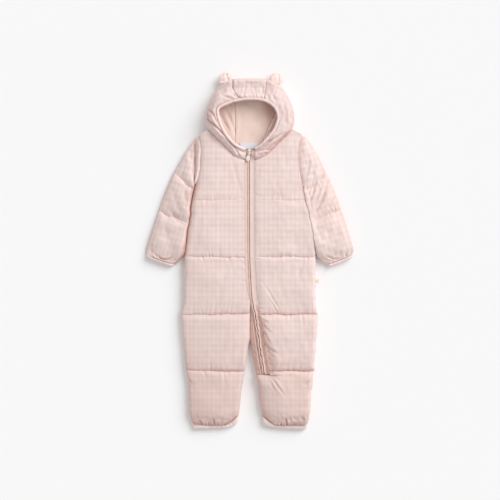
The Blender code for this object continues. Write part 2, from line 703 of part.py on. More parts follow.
def sleeve(side):
    """One sleeve from armhole to cuff seam, puffed between its quilting lines."""
    numbers = np.arange(len(SLEEVE_ROWS[side]), dtype=float)
    crests = column(SLEEVE_ROWS[side], SLEEVE_COLUMNS, "crest")
    drawn_in = crests[[2, 6, 9]].mean()          # height on the rows that carry a quilting line
    outer, inner = [], []
    for path, station in zip(sleeve_paths(side), SLEEVE_STATIONS):
        crest = np.interp(station, numbers, crests)
        channel = pillow(np.array([float(station)]), SLEEVE_LINES)[0]
        if SLEEVE_LINES[0] < station < SLEEVE_LINES[-1] - 0.9 and channel < 0.999:
            crest = drawn_in + (SLEEVE_CREST - drawn_in) * channel
        from_cuff = np.clip((SLEEVE_STATIONS[-1] - station) / 1.5, 0, 1)
        rings = flat_tube_section(path, crest, 5.5 + 2.5 * from_cuff, GATHER * (1 - from_cuff))
        outer.append(rings[0])
        inner.append(rings[1])
    return tube(side_name("sleeve", side), "checked_shell", outer, inner)


def binding_ring(name, path, gap):
    """Elastic binding on an open end: a short flat tube that goes on from the end's path, square to it."""
    path = np.asarray(path, float)
    tangent = np.gradient(path, axis=0)
    tangent /= np.linalg.norm(tangent, axis=1)[:, None]
    outward = np.stack([tangent[:, 1], -tangent[:, 0]], axis=1)
    if outward[len(path) // 2][1] > 0:
        outward = -outward
    outer, inner = [], []
    for part, crest in BINDING_STEPS:
        moved = path + outward * (gap + part * CUFF_LONG)
        rings = flat_tube_section(moved, crest, BINDING_WALL, 0.0)
        outer.append(rings[0])
        inner.append(rings[1])
    return tube(name, "plain_binding", outer, inner)


def hem_path(side):
    inner = inner_leg(side, HEM_END)
    outer = body_side(side, HEM_END) - SEAM_GAP
    part = np.linspace(1, 0, 25)
    out = inner + (outer - inner) * part
    return np.stack([side * out, HEM_END + hem_lift(HEM_END, part)], axis=1)


# ---- hood

def hood_section(start, end, rim, under):
    """Section of a hood wall from the face opening's edge to the outline. With under = 1 it turns round to
    the surface and lies there; with 0 it is the padded band that ends at the neck seam."""
    start, end = np.asarray(start, float), np.asarray(end, float)
    length = np.linalg.norm(end - start)
    parts = np.array((0.0, 0.08, 0.22, 0.40, 0.60, 0.78, 0.92, 1.0))
    if under:
        puff = 4.5 * np.sin(np.pi * np.clip(parts / 0.75, 0, 1))
        crown = (rim - HOOD_WIDEST) * (1 - parts ** 2.8) ** 0.6 + puff
        outer = np.stack([parts * length, HOOD_WIDEST + crown], axis=1)
        reach = length - 8.0
        inner = np.stack([parts[1:-1] * reach, outer[1:-1, 1] - HOOD_WALL], axis=1)
        inner[:, 1] = np.maximum(inner[:, 1], HOOD_WIDEST + 1)
        foot = (
            (length - 0.6, 8.0), (length - 4.0, 1.4), (length - 9.0, 0.0), (length - HOOD_UNDER, 0.0),
            (length - HOOD_UNDER, HOOD_BACK_THICK - 0.2), (length - 10.5, HOOD_BACK_THICK),
            (length - 8.0, 12.0),
        )
    else:
        edge = HOOD_WIDEST + NECK_EDGE - 3
        valley = -5.0 * np.exp(-(((parts - 0.17) / 0.09) ** 2))
        roll = 5.5 * np.sin(np.pi * np.clip((parts - 0.2) / 0.8, 0, 1))
        heights = rim + (edge - rim) * parts ** 2 + valley + roll
        outer = np.stack([parts * length, heights], axis=1)
        low = BAND_FLOOR + (rim - HOOD_WALL - BAND_FLOOR) * (1 - parts[1:-1]) ** 1.3
        inner = np.stack([parts[1:-1] * length, low], axis=1)
        foot = (
            (length, 21.0), (length, 18.0), (length, BAND_FLOOR + 1), (length - 0.5, BAND_FLOOR),
            (0.97 * length, BAND_FLOOR), (0.955 * length, BAND_FLOOR), (0.94 * length, BAND_FLOOR),
        )
    profile = np.concatenate([outer, foot, inner[::-1], [(0.0, rim - HOOD_WALL)]])
    places = start + (end - start) * (profile[:, :1] / length)
    return np.column_stack([places, profile[:, 1]])


def hood_rows(side):
    return [HoodRow(*row) for row in HOOD_SIDE_ROWS[side]]


def moved_in(row, inset):
    """The row's place on the hood's outline, moved in towards the face opening: distance out, and y."""
    start, end = np.array((row.in_out, row.in_y)), np.array((row.out_out, row.out_y))
    return end + (start - end) / np.linalg.norm(start - end) * inset


def hood_side(side):
    """A hood side from the centre panel's seam round to the zip, where a thin lip runs on under the tape."""
    rows = hood_rows(side)
    sections = []
    for row in rows:
        start, end = (side * row.in_out, row.in_y), (side * row.out_out, row.out_y)
        sections.append(hood_section(start, end, row.rim, row.under))
    last = sections[-1]
    floor = split_height(0.0) + SEAM_GAP + LIP_THICK
    for x_out in (rows[-1].in_out - 0.4, SEAM_GAP / 2):
        lip = last.copy()
        lip[:, 0] -= side * (rows[-1].in_out - x_out)
        if x_out < 1:
            lip[:, 0] = zip_x(ZIP_TOP) + side * x_out
        lip[:, 2] = np.minimum(lip[:, 2], floor - 0.04 * (lip[:, 2].max() - lip[:, 2]))
        sections.append(lip)
    return loft(side_name("hood", side), "checked_shell", sections)


def hood_centre():
    """The panel over the top of the head, gathered above the forehead."""
    rows = HOOD_CENTRE_ROWS
    numbers = np.arange(len(rows), dtype=float)
    stations = np.linspace(0, len(rows) - 1, 2 * HOOD_GATHERS + 1)
    columns = HOOD_CENTRE_COLUMNS
    read = {name: smooth(numbers, column(rows, columns, name), stations) for name in columns}
    sections = []
    for i in range(len(stations)):
        start, end = (read["in_x"][i], read["in_y"][i]), (read["out_x"][i], read["out_y"][i])
        section = hood_section(start, end, RIM_HEIGHT, 1.0)
        wave = GATHER * (1 if i % 2 else -1) * (0 < i < len(stations) - 1)
        section[1:4, 2] += wave * np.array((0.8, 1.0, 0.4))
        sections.append(section)
    return loft("hood_centre", "checked_shell", sections)


def hood_outline(inset):
    """The hood's outline moved in along its rows, from the right neck corner over the top to the left one."""
    points = []
    for side, order in ((RIGHT, -1), (LEFT, 1)):
        for row in [row for row in hood_rows(side) if row.under][::order]:
            out, y = moved_in(row, inset)
            points.append((side * out, y))
    return points


def nape_line(raise_by):
    """The nape seam from the left side to the right, lifted clear of the back."""
    left = [(row[1], row[0] + raise_by) for row in NAPE_ROWS]
    return left[1:] + [(-x, y) for x, y in left[1:-1][::-1]]


def hood_back_and_lining():
    """The back of the hood on the surface, and on it the lining in a centre piece and two side pieces."""
    outline = hood_outline(HOOD_UNDER + SEAM_GAP) + nape_line(SEAM_GAP + 0.4)
    prism("hood_back", "checked_shell", outline, 0.0, HOOD_BACK_THICK - 0.2)
    low = HOOD_BACK_THICK + SEAM_GAP
    high = low + LINING_THICK
    half = SEAM_GAP / 2
    right, left = LINING_SEAMS[RIGHT], LINING_SEAMS[LEFT]
    centre = [
        (right.low_x + half, LINING_LOW), (LINING_NAPE[0], LINING_NAPE[1]), (-LINING_NAPE[0], LINING_NAPE[1]),
        (left.low_x - half, LINING_LOW), (left.top_x - half, LINING_TOP), (right.top_x + half, LINING_TOP),
    ]
    prism("lining_centre", "hood_lining", centre, low, high)
    for side in (RIGHT, LEFT):
        seam = LINING_SEAMS[side]
        outer = []
        for row in [row for row in hood_rows(side) if row.under][3:]:
            out, y = moved_in(row, LINING_INSET)
            outer.append((side * out, y))
        slope = (seam.top_x - seam.low_x) / (LINING_TOP - LINING_NAPE[1])
        top_seam = (seam.top_x + side * half, outer[0][1] + 6)
        low_seam = (seam.low_x + side * half + slope * (LINING_LOW - LINING_NAPE[1]), LINING_LOW)
        prism(side_name("lining", side), "hood_lining", [top_seam] + outer + [low_seam], low, high)


def face_binding():
    """Folded binding round the face opening, from the zip's right side over the forehead to its left side."""
    points = [(-row.in_out, row.in_y, row.rim) for row in hood_rows(RIGHT)[::-1]]
    points += [(in_x, in_y, RIM_HEIGHT) for in_x, in_y, _, _ in HOOD_CENTRE_ROWS[1:-1]]
    points += [(row.in_out, row.in_y, row.rim) for row in hood_rows(LEFT)]
    path, rims = np.array(points)[:, :2], np.array(points)[:, 2]
    tangent = np.gradient(path, axis=0)
    tangent /= np.linalg.norm(tangent, axis=1)[:, None]
    inward = np.stack([tangent[:, 1], -tangent[:, 0]], axis=1)
    inward[0], inward[-1] = (0.0, 1.0), (0.0, 1.0)
    profile = (
        (0.5, 1.2), (1.6, 2.4), (3.6, 2.4), (5.6, 1.0),
        (BINDING_WIDE, -2.2), (BINDING_WIDE - 0.8, -5.4), (4.2, -7.4), (0.5, -7.4),
    )
    sections = []
    for place, normal, rim in zip(path, inward, rims):
        sections.append([(*(place + normal * away), rim + height) for away, height in profile])
    return loft("face_binding", "plain_binding", sections)


def ear(side):
    """Stuffed ear: an oval disc with a pinched crease, its flat base sewn into the hood's outline."""
    shape = EAR_ROWS[side]
    angle = np.radians(shape.tilt)
    across, up = np.array((np.cos(angle), np.sin(angle))), np.array((-np.sin(angle), np.cos(angle)))
    round_points = np.linspace(0, 2 * np.pi, 14, endpoint=False)
    sections = []
    for part in (0.0, 0.12, 0.28, 0.46, 0.64, 0.8, 0.92, 0.985):
        bulge = np.sqrt(1 - (max(0.0, part - EAR_WIDEST) / (1 - EAR_WIDEST)) ** 2)
        waist = 0.72 + 0.28 * np.sin(np.pi / 2 * min(part / EAR_WIDEST, 1.0))
        wide = shape.half_width * bulge * waist
        puff = 0.55 + 0.45 * np.sin(0.6 * np.pi * min(part / 0.8, 1.0) + 0.3)
        thick = EAR_THICK / 2 * puff * np.sqrt(bulge)
        centre = np.array((shape.base_x, shape.base_y)) + up * part * shape.height
        crease = 2.4 * np.exp(-(((np.cos(round_points) - 0.1) / 0.22) ** 2)) * (np.sin(round_points) > 0.3)
        points = centre + across * (wide * np.cos(round_points))[:, None]
        heights = EAR_BASE_HEIGHT - 3.0 * part + thick * np.sin(round_points) - crease * thick / EAR_THICK * 2
        sections.append(np.column_stack([points, heights]))
    return loft(side_name("ear", side), "plain_binding", sections)


# ---- zip

def zip_stations(top, end):
    ys = [top, 180.0, 110.0, 40.0, -14.0, -45.0, -70.0, -92.0, -112.0, -130.0, -147.0]
    ys += [-165.0, -184.0, -205.0, -226.0, -246.0, -266.0, end]
    return np.array([y for y in ys if end <= y <= top])


def zip_run(name, slot, top, end, profile):
    """Long piece of the zip: a profile of (distance from the chain, height) carried down the zip's path."""
    ys = zip_stations(top, end)
    middle = np.stack([zip_x(ys), ys], axis=1)
    tangent = np.gradient(middle, axis=0)
    tangent /= np.linalg.norm(tangent, axis=1)[:, None]
    across = np.stack([-tangent[:, 1], tangent[:, 0]], axis=1)
    floor = BACK_THICK + SEAM_GAP + LIP_THICK + SEAM_GAP
    sections = []
    for place, normal in zip(middle, across):
        sections.append([(*(place + normal * away), floor + height) for away, height in profile])
    return loft(name, slot, sections)


def zip_pieces():
    """Two tapes on the panels' lips, the chain on them, and the placket beside it on the left front."""
    tapes = {RIGHT: (-SEAM_GAP / 2, 0.5 - TAPE_WIDE), LEFT: (SEAM_GAP / 2, PLACKET_IN - SEAM_GAP)}
    for side, (near, far) in tapes.items():
        profile = ((near, 0), (far, 0), (far, TAPE_THICK), (near, TAPE_THICK))
        zip_run(side_name("zip_tape", side), "zip_tape", ZIP_TOP, ZIP_END + 1.5, profile)
    half, low = CHAIN_WIDE / 2, TAPE_THICK + SEAM_GAP
    high = low + CHAIN_THICK
    edge = high - 0.7
    chain = ((-half, low), (half, low), (half, edge), (0.5 * half, high), (-0.5 * half, high), (-half, edge))
    zip_run("zip_chain", "zip_tape", SLIDER_END - SEAM_GAP, ZIP_END + 4, chain)
    roll = PLACKET_IN + 3.8
    placket = ((PLACKET_IN, 0), (PLACKET_IN, 3.4), (PLACKET_IN + 0.9, 4.8), (roll - 0.9, 4.8), (roll, 3.6),
               (PLACKET_OUT - 0.6, 3.9), (PLACKET_OUT, 3.3), (PLACKET_OUT, 0))
    zip_run("zip_placket", "plain_binding", ZIP_TOP, ZIP_END + 1.5, placket)


def cylinder_mesh(work, radius, length, centre):
    """Cylinder along X in a bmesh, in millimetres."""
    made = bmesh.ops.create_cone(
        work, cap_ends=True, segments=16, radius1=radius, radius2=radius, depth=length
    )
    bmesh.ops.rotate(work, verts=made["verts"], matrix=Matrix.Rotation(np.pi / 2, 3, "Y"))
    bmesh.ops.translate(work, verts=made["verts"], vec=centre)
    return made["verts"]


def box_mesh(work, sizes, centre, bevel=0.0):
    made = bmesh.ops.create_cube(work, size=1)
    bmesh.ops.scale(work, vec=sizes, verts=made["verts"])
    bmesh.ops.translate(work, vec=centre, verts=made["verts"])
    if bevel:
        edges = list({edge for vertex in made["verts"] for edge in vertex.link_edges})
        bmesh.ops.bevel(work, geom=edges, offset=bevel, segments=2, affect="EDGES", profile=0.5)


def helper(name, work):
    """A shape that only takes part in a Boolean."""
    made = finish_object(name, "zip_plastic", work)
    made.hide_render = True
    made.display_type = "WIRE"
    return made


def combine(target, other, operation):
    modifier = target.modifiers.new(other.name, "BOOLEAN")
    modifier.operation = operation
    modifier.solver = "EXACT"
    modifier.object = other


def zip_slider(hinge):
    """Slider body over the chain, with two posts and the bar that the pull turns on."""
    body_low = hinge.z / MM - HINGE_RISE - SLIDER_HIGH
    x, y, z = hinge / MM
    work = bmesh.new()
    centre = (x, (SLIDER_TOP + SLIDER_END) / 2, body_low + SLIDER_HIGH / 2)
    box_mesh(work, (SLIDER_WIDE, SLIDER_TOP - SLIDER_END, SLIDER_HIGH), centre, 1.2)
    slider = finish_object("zip_slider", "zip_plastic", work)
    post_wide = 0.9
    for side in (RIGHT, LEFT):
        work = bmesh.new()
        place = (x + side * (KNUCKLE_LONG / 2 + 0.3 + post_wide / 2), y, z - HINGE_RISE / 2 + 0.1)
        box_mesh(work, (post_wide, 2.4, HINGE_RISE + 1.8), place, 0.25)
        combine(slider, helper(side_name("slider_post", side), work), "UNION")
    work = bmesh.new()
    cylinder_mesh(work, BAR_RADIUS, KNUCKLE_LONG + 1.4, (x, y, z))
    combine(slider, helper("slider_bar", work), "UNION")


def zip_pull(hinge):
    """Drop-shaped pull tab on the slider's bar. It turns about its own X axis, through its origin."""
    empty = bpy.data.objects.new("pull_hinge", None)
    bpy.context.scene.collection.objects.link(empty)
    empty.location = hinge
    empty.rotation_euler = (np.radians(PULL_DROOP), 0, np.radians(PULL_LEAN))
    neck, drop = 1.5, PULL_WIDE / 2
    turn = np.linspace(-0.30 * np.pi, 1.30 * np.pi, 15)
    centre_y = -(PULL_LONG - drop)
    outline = [(drop * np.cos(a), centre_y - drop * np.sin(a)) for a in turn]
    right_edge = [(neck, -1.0), (neck, -5.5), (neck + 0.8, -8.5)]
    outline = right_edge + outline + [(-px, py) for px, py in right_edge[::-1]]
    work = bmesh.new()
    low = [work.verts.new((px, py, -PULL_THICK / 2)) for px, py in outline]
    face = work.faces.new(low)
    extruded = bmesh.ops.extrude_face_region(work, geom=[face])
    lifted = [item for item in extruded["geom"] if isinstance(item, bmesh.types.BMVert)]
    bmesh.ops.translate(work, verts=lifted, vec=(0, 0, PULL_THICK))
    rims = [edge for edge in work.edges if abs(edge.verts[0].co.z - edge.verts[1].co.z) < 0.01]
    bmesh.ops.bevel(work, geom=rims, offset=0.4, segments=1, affect="EDGES", profile=0.5)
    pull = finish_object("zip_pull", "zip_plastic", work)
    pull.parent = empty
    work = bmesh.new()
    cylinder_mesh(work, KNUCKLE_RADIUS, KNUCKLE_LONG, (0, 0, 0))
    knuckle = helper("pull_knuckle", work)
    work = bmesh.new()
    cylinder_mesh(work, BORE_RADIUS, KNUCKLE_LONG + 2, (0, 0, 0))
    bore = helper("pull_bore", work)
    for part in (knuckle, bore):
        part.parent = empty
    combine(pull, knuckle, "UNION")
    combine(pull, bore, "DIFFERENCE")


def slider_and_pull():
    tape_top = BACK_THICK + SEAM_GAP + LIP_THICK + SEAM_GAP + TAPE_THICK
    height = tape_top + SEAM_GAP + SLIDER_HIGH + HINGE_RISE
    hinge = Vector((float(zip_x(HINGE_Y)), HINGE_Y, height)) * MM
    zip_slider(hinge)
    zip_pull(hinge)


# ---- label and tag, both bare

def rectangle(x, y, wide, high):
    corners = ((-1, -1), (1, -1), (1, 1), (-1, 1))
    return [(x + wide / 2 * across, y + high / 2 * up) for across, up in corners]


def label_and_tag():
    on_lining = HOOD_BACK_THICK + SEAM_GAP + LINING_THICK + SEAM_GAP
    label = rectangle(LABEL_X, LABEL_Y, LABEL_WIDE, LABEL_HIGH)
    prism("neck_label", "label_satin", label, on_lining, on_lining + LABEL_THICK)
    tag_x = float(body_side(LEFT, TAG_Y)) + TAG_LONG / 2
    middle = BACK_THICK + SEAM_GAP / 2
    tag = rectangle(tag_x + SEAM_GAP, TAG_Y, TAG_LONG, TAG_WIDE)
    prism("side_tag", "tag_ribbon", tag, middle - TAG_THICK / 2, middle + TAG_THICK / 2)


for suit_side in (RIGHT, LEFT):
    front_panel(suit_side)
    back_panel(suit_side)
    sleeve(suit_side)
    binding_ring(side_name("cuff_binding", suit_side), sleeve_paths(suit_side)[-1], CUFF_GAP)
    binding_ring(side_name("hem_binding", suit_side), hem_path(suit_side), HEM_GAP)
    hood_side(suit_side)
    ear(suit_side)
inner_leg_strip()
hood_centre()
hood_back_and_lining()
face_binding()
zip_pieces()
slider_and_pull()
label_and_tag()
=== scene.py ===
import math
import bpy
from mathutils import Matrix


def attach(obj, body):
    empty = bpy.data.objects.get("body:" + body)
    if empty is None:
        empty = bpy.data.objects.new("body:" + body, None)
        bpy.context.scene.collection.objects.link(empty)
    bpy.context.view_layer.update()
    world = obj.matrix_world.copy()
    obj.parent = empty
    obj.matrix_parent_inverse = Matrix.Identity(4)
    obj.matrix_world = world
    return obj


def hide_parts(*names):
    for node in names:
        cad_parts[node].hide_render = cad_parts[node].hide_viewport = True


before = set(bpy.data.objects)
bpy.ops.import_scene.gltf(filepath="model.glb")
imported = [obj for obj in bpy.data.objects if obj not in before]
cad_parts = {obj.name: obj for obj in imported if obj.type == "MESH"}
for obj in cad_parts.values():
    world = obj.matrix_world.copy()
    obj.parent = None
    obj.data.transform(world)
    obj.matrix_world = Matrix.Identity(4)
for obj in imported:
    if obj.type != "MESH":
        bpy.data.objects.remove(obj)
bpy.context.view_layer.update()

from types import SimpleNamespace

import bmesh
import bpy
import mathutils
import numpy as np

scene = bpy.context.scene
right, left = -1, 1        # the wearer's sides, along x
sideWord = {right: "right", left: "left"}
mm = 0.001                 # tables are in millimetres, meshes in metres
seed = 31
print("frame loaded")


# camera, light and floor

studio = {
    "cameraLens": 130.0, "viewWidth": 1.15, "lookAt": (0.0, 0.0018), "focusHeight": 0.016,
    "keyElevation": 36.0, "keyAzimuth": 40.0, "floorKeySoftness": 42.0, "floorKeyStrength": 2.16,
    "keyDistance": 3.2, "keySize": 2.2, "keyWatts": 73.0, "keyAim": (0.0, 0.12, 0.02),
    "fillStrength": 0.61, "fillColour": (1.0, 0.985, 0.975),
    "floorColour": (0.93, 0.935, 0.945), "floorRoughness": 0.9, "floorHalf": 6.0, "sensorWidth": 36.0,
}


def buildStudio(s):
    # the camera looks straight down, from as high as its lens needs to take in viewWidth: width lens / sensor
    lens = bpy.data.cameras.new("camera")
    lens.lens = s["cameraLens"]
    lens.sensor_width = s["sensorWidth"]
    lens.clip_end = 20
    camera = bpy.data.objects.new("camera", lens)
    camera.location = (*s["lookAt"], s["focusHeight"] + s["viewWidth"] * s["cameraLens"] / s["sensorWidth"])
    scene.collection.objects.link(camera)
    scene.camera = camera
    # a broad soft key from the upper right, near enough to fall off towards the feet, and an even pale room
    turn = (math.radians(90 - s["keyElevation"]), 0, math.radians(90 + s["keyAzimuth"]))
    key = bpy.data.lights.new("key", "AREA")
    key.shape = "DISK"
    key.size = s["keySize"]
    key.energy = s["keyWatts"]
    keyLamp = bpy.data.objects.new("key", key)
    keyLamp.rotation_euler = turn
    away = mathutils.Euler(turn).to_matrix() @ mathutils.Vector((0, 0, 1))
    keyLamp.location = mathutils.Vector(s["keyAim"]) + away * s["keyDistance"]
    # the floor has a key of its own from the same side, without the fall-off
    floorKey = bpy.data.lights.new("floorKey", "SUN")
    floorKey.energy = s["floorKeyStrength"]
    floorKey.angle = math.radians(s["floorKeySoftness"])
    floorLamp = bpy.data.objects.new("floorKey", floorKey)
    floorLamp.rotation_euler = turn
    for lamp in (keyLamp, floorLamp):
        scene.collection.objects.link(lamp)
    world = bpy.data.worlds.new("room")
    world.use_nodes = True
    room = world.node_tree.nodes["Background"].inputs
    room["Color"].default_value = (*s["fillColour"], 1)
    room["Strength"].default_value = s["fillStrength"]
    scene.world = world
    scene.view_settings.view_transform = "Standard"
    ground = bpy.data.meshes.new("floor")
    half = s["floorHalf"]
    corners = [(-half, -half, 0), (half, -half, 0), (half, half, 0), (-half, half, 0)]
    ground.from_pydata(corners, [], [(0, 1, 2, 3)])
    floor = bpy.data.objects.new("floor", ground)
    scene.collection.objects.link(floor)
    paint = bpy.data.materials.new("floorPaint")
    paint.use_nodes = True
    shader = paint.node_tree.nodes["Principled BSDF"]
    shader.inputs["Base Color"].default_value = (*s["floorColour"], 1)
    shader.inputs["Roughness"].default_value = s["floorRoughness"]
    ground.materials.append(paint)
    # the floor takes its own key alone
    for lamp, state in ((floorLamp, "INCLUDE"), (keyLamp, "EXCLUDE")):
        lit = bpy.data.collections.new(lamp.name + "Receivers")
        lit.objects.link(floor)
        lit.collection_objects[0].light_linking.link_state = state
        lamp.light_linking.receiver_collection = lit


# materials

class Nodes:
    # a node tree in the making: each call adds a node, sets or links its inputs and hands back one output
    def __init__(self, name):
        self.material = bpy.data.materials.new(name)
        self.material.use_nodes = True
        self.tree = self.material.node_tree
        self.shader = self.tree.nodes["Principled BSDF"]

    def put(self, socket, value):
        # links an output to the socket, or sets a plain value
        if isinstance(value, bpy.types.NodeSocket):
            self.tree.links.new(value, socket)
        else:
            socket.default_value = value

    def add(self, kind, inputs=(), output=0, **settings):
        # one node with its settings and inputs
        made = self.tree.nodes.new(kind)
        for key, value in settings.items():
            setattr(made, key, value)
        for socket, value in dict(inputs).items():
            self.put(made.inputs[socket], value)
        return made.outputs[output]

    def maths(self, operation, *values):
        # one sum of one or two values
        return self.add("ShaderNodeMath", enumerate(values), operation=operation)

    def blend(self, share, a, b, kind="MIX"):
        # a (1 - share) + b share, or with MULTIPLY a (1 - share) + a b share
        made = self.tree.nodes.new("ShaderNodeMix")
        made.data_type, made.blend_type = "RGBA", kind
        for socket, value in ((0, share), (6, a), (7, b)):
            self.put(made.inputs[socket], value)
        return made.outputs[2]

    def ramp(self, value, low, high, start=0.0, end=1.0):
        # from start to end as the value goes from low to high: 3 t^2 - 2 t^3
        inputs = {0: value, 1: low, 2: high, 3: start, 4: end}
        return self.add("ShaderNodeMapRange", inputs, interpolation_type="SMOOTHSTEP")

    def grain(self):
        # the cloth's own place, and its three parts: across, along, and how much painted shade it takes
        place = self.add("ShaderNodeAttribute", attribute_name="grain", output=1)
        parts = self.tree.nodes.new("ShaderNodeSeparateXYZ")
        self.put(parts.inputs[0], place)
        return (place, *parts.outputs)

    def noise(self, place, scale, detail=2.0, roughness=0.5):
        # cloudy noise about 0.5, its clouds 1 / scale long
        inputs = {"Vector": place, "Scale": scale, "Detail": detail, "Roughness": roughness}
        return self.add("ShaderNodeTexNoise", inputs)

    def wave(self, value, period):
        # sin(2 pi value / period)
        return self.maths("SINE", self.maths("MULTIPLY", value, 2 * math.pi / period))

    def finish(self, height, roughness, sheen=0.0, specular=0.35):
        # the surface with its relief, in metres, and its shine
        bump = self.add("ShaderNodeBump", {"Strength": 1.0, "Distance": 1.0, "Height": height})
        shine = {"Normal": bump, "Roughness": roughness, "Sheen Weight": sheen, "Sheen Roughness": 0.5,
                 "Specular IOR Level": specular}
        for socket, value in shine.items():
            self.put(self.shader.inputs[socket], value)
        return self.material


# the colour of painted shade, multiplied into the cloth where it lies in shade
paintedShadeColour = (0.80, 0.665, 0.625)


def paintShade(n, paintedShade, colour):
    # painted shade, redder and darker, where a place lies in a fold or in shade: the colour times the shade
    # colour, by the grain's third number
    return n.blend(n.ramp(paintedShade, 0.0, mm), colour, (*paintedShadeColour, 1), "MULTIPLY")


checkedCloth = {
    "base": (0.912, 0.744, 0.706), "band": (0.842, 0.652, 0.610), "grey": (0.795, 0.662, 0.666),
    "acrossPeriod": 0.0101, "alongPeriod": 0.0138, "bandEdge": 0.6, "bandShare": 0.5,
    "finePeriod": 0.0046, "fineShare": 0.175,
    "patchScale": 12.0, "patchLow": 0.40, "patchHigh": 0.75, "patchShare": 0.6,
    "thread": 0.0009, "threadHeight": 0.00005, "crumpleScale": 110.0, "crumpleHeight": 0.0005,
    # painted shade towards the feet: the colour it multiplies in, and where along the grain it starts and
    # ends
    "paintedLegShade": (0.965, 0.925, 0.903), "paintedLegShadeTop": -0.12, "paintedLegShadeEnd": -0.40,
    "faint": 0.74, "faintTop": 0.16, "faintEnd": -0.16, "middle": 0.54,
    "roughness": 0.62, "sheen": 0.10, "specular": 0.3,
}


def checkedMaterial(name, changes):
    # soft bands across and along the cloth's own grain, darker where they cross, with finer ones between
    c = {**checkedCloth, **changes}
    n = Nodes(name)
    grain, across, along, paintedShade = n.grain()
    bandAcross = n.ramp(n.wave(across, c["acrossPeriod"]), -c["bandEdge"], c["bandEdge"])
    bandAlong = n.ramp(n.wave(along, c["alongPeriod"]), -c["bandEdge"], c["bandEdge"])
    bands = n.maths("MULTIPLY", n.maths("ADD", bandAcross, bandAlong), c["bandShare"])
    fine = n.maths("ADD", n.wave(across, c["finePeriod"]), n.wave(along, c["finePeriod"]))
    share = n.maths("ADD", bands, n.maths("MULTIPLY", fine, c["fineShare"]))
    # fainter down the legs: m + f (share - m)
    faint = n.ramp(along, c["faintTop"], c["faintEnd"], 1.0, c["faint"])
    share = n.maths("ADD", c["middle"], n.maths("MULTIPLY", faint, n.maths("SUBTRACT", share, c["middle"])))
    # the bands are greyer in slow patches, and the whole cloth is painted darker and redder towards the feet
    # as shade; painted shade in folds goes on last
    patches = n.noise(grain, c["patchScale"], 1.0)
    patches = n.ramp(patches, c["patchLow"], c["patchHigh"], 0.0, c["patchShare"])
    checked = n.blend(share, (*c["base"], 1), n.blend(patches, (*c["band"], 1), (*c["grey"], 1)))
    paintedLegShade = n.blend(n.ramp(along, c["paintedLegShadeTop"], c["paintedLegShadeEnd"]), checked, (*c["paintedLegShade"], 1), "MULTIPLY")
    n.put(n.shader.inputs["Base Color"], paintShade(n, paintedShade, paintedLegShade))
    threads = n.maths("MULTIPLY", n.wave(across, c["thread"]), n.wave(along, c["thread"]))
    weave = n.maths("MULTIPLY", threads, c["threadHeight"])
    crumple = n.maths("MULTIPLY", n.noise(grain, c["crumpleScale"], 3.0, 0.55), c["crumpleHeight"])
    return n.finish(n.maths("ADD", weave, crumple), c["roughness"], c["sheen"], c["specular"])


mottle = {"scale": 60.0, "low": 0.3, "high": 0.7}


def plainMaterial(name, colour, shade, scale, height, roughness, sheen=0.0, specular=0.35, paintedShade=False):
    # plain cloth or plastic: two near colours mixed by slow noise, painted shade where asked, and a grain of
    # fine noise times its height
    n = Nodes(name)
    place = n.add("ShaderNodeTexCoord", output=3)
    share = n.ramp(n.noise(place, mottle["scale"]), mottle["low"], mottle["high"])
    mixed = n.blend(share, (*colour, 1), (*shade, 1))
    # painted shade from the grain's third number, for the materials that take it
    if paintedShade:
        mixed = paintShade(n, n.grain()[3], mixed)
    n.put(n.shader.inputs["Base Color"], mixed)
    return n.finish(n.maths("MULTIPLY", n.noise(place, scale), height), roughness, sheen, specular)


# colour, its shade, scale and height of the grain, roughness, and where needed the sheen
plainFinishes = {
    "jerseyLining": ((0.93, 0.735, 0.655), (0.90, 0.70, 0.62), 900.0, 0.00025, 0.85, 0.3),
    "plainBinding": ((0.925, 0.762, 0.728), (0.90, 0.730, 0.695), 700.0, 0.0002, 0.7, 0.1),
    "zipTape": ((0.85, 0.67, 0.62), (0.82, 0.64, 0.59), 800.0, 0.0002, 0.7),
    "zipPlastic": ((0.90, 0.83, 0.78), (0.88, 0.80, 0.75), 200.0, 0.00002, 0.3),
    "labelSatin": ((0.86, 0.86, 0.94), (0.83, 0.84, 0.93), 500.0, 0.00008, 0.4),
    "tagRibbon": ((0.88, 0.76, 0.56), (0.80, 0.62, 0.36), 400.0, 0.0002, 0.6),
    "zipCoil": ((0.94, 0.79, 0.71), (0.90, 0.74, 0.66), 400.0, 0.00003, 0.4),
    # the core's colour is painted shade between the teeth, and its second copy the deeper painted shade down
    # the leg
    "zipCore": ((0.70, 0.54, 0.46), (0.64, 0.48, 0.41), 700.0, 0.0001, 0.8),
    # the gap's colour is a painted shadow
    "zipGapShadow": ((0.20, 0.11, 0.09), (0.16, 0.09, 0.08), 700.0, 0.0001, 0.9),
    "zipCoreShaded": ((0.46, 0.25, 0.20), (0.40, 0.21, 0.17), 700.0, 0.0001, 0.8),
    "zipPlacket": ((0.885, 0.69, 0.635), (0.85, 0.655, 0.60), 700.0, 0.0002, 0.7, 0.1),
    "earCloth": ((0.925, 0.752, 0.715), (0.90, 0.722, 0.685), 700.0, 0.0002, 0.7, 0.1),
    "thread": ((0.86, 0.67, 0.62), (0.80, 0.60, 0.55), 2000.0, 0.00005, 0.6),
}
shineOf = {"zipPlastic": 0.5, "zipCoil": 0.4}
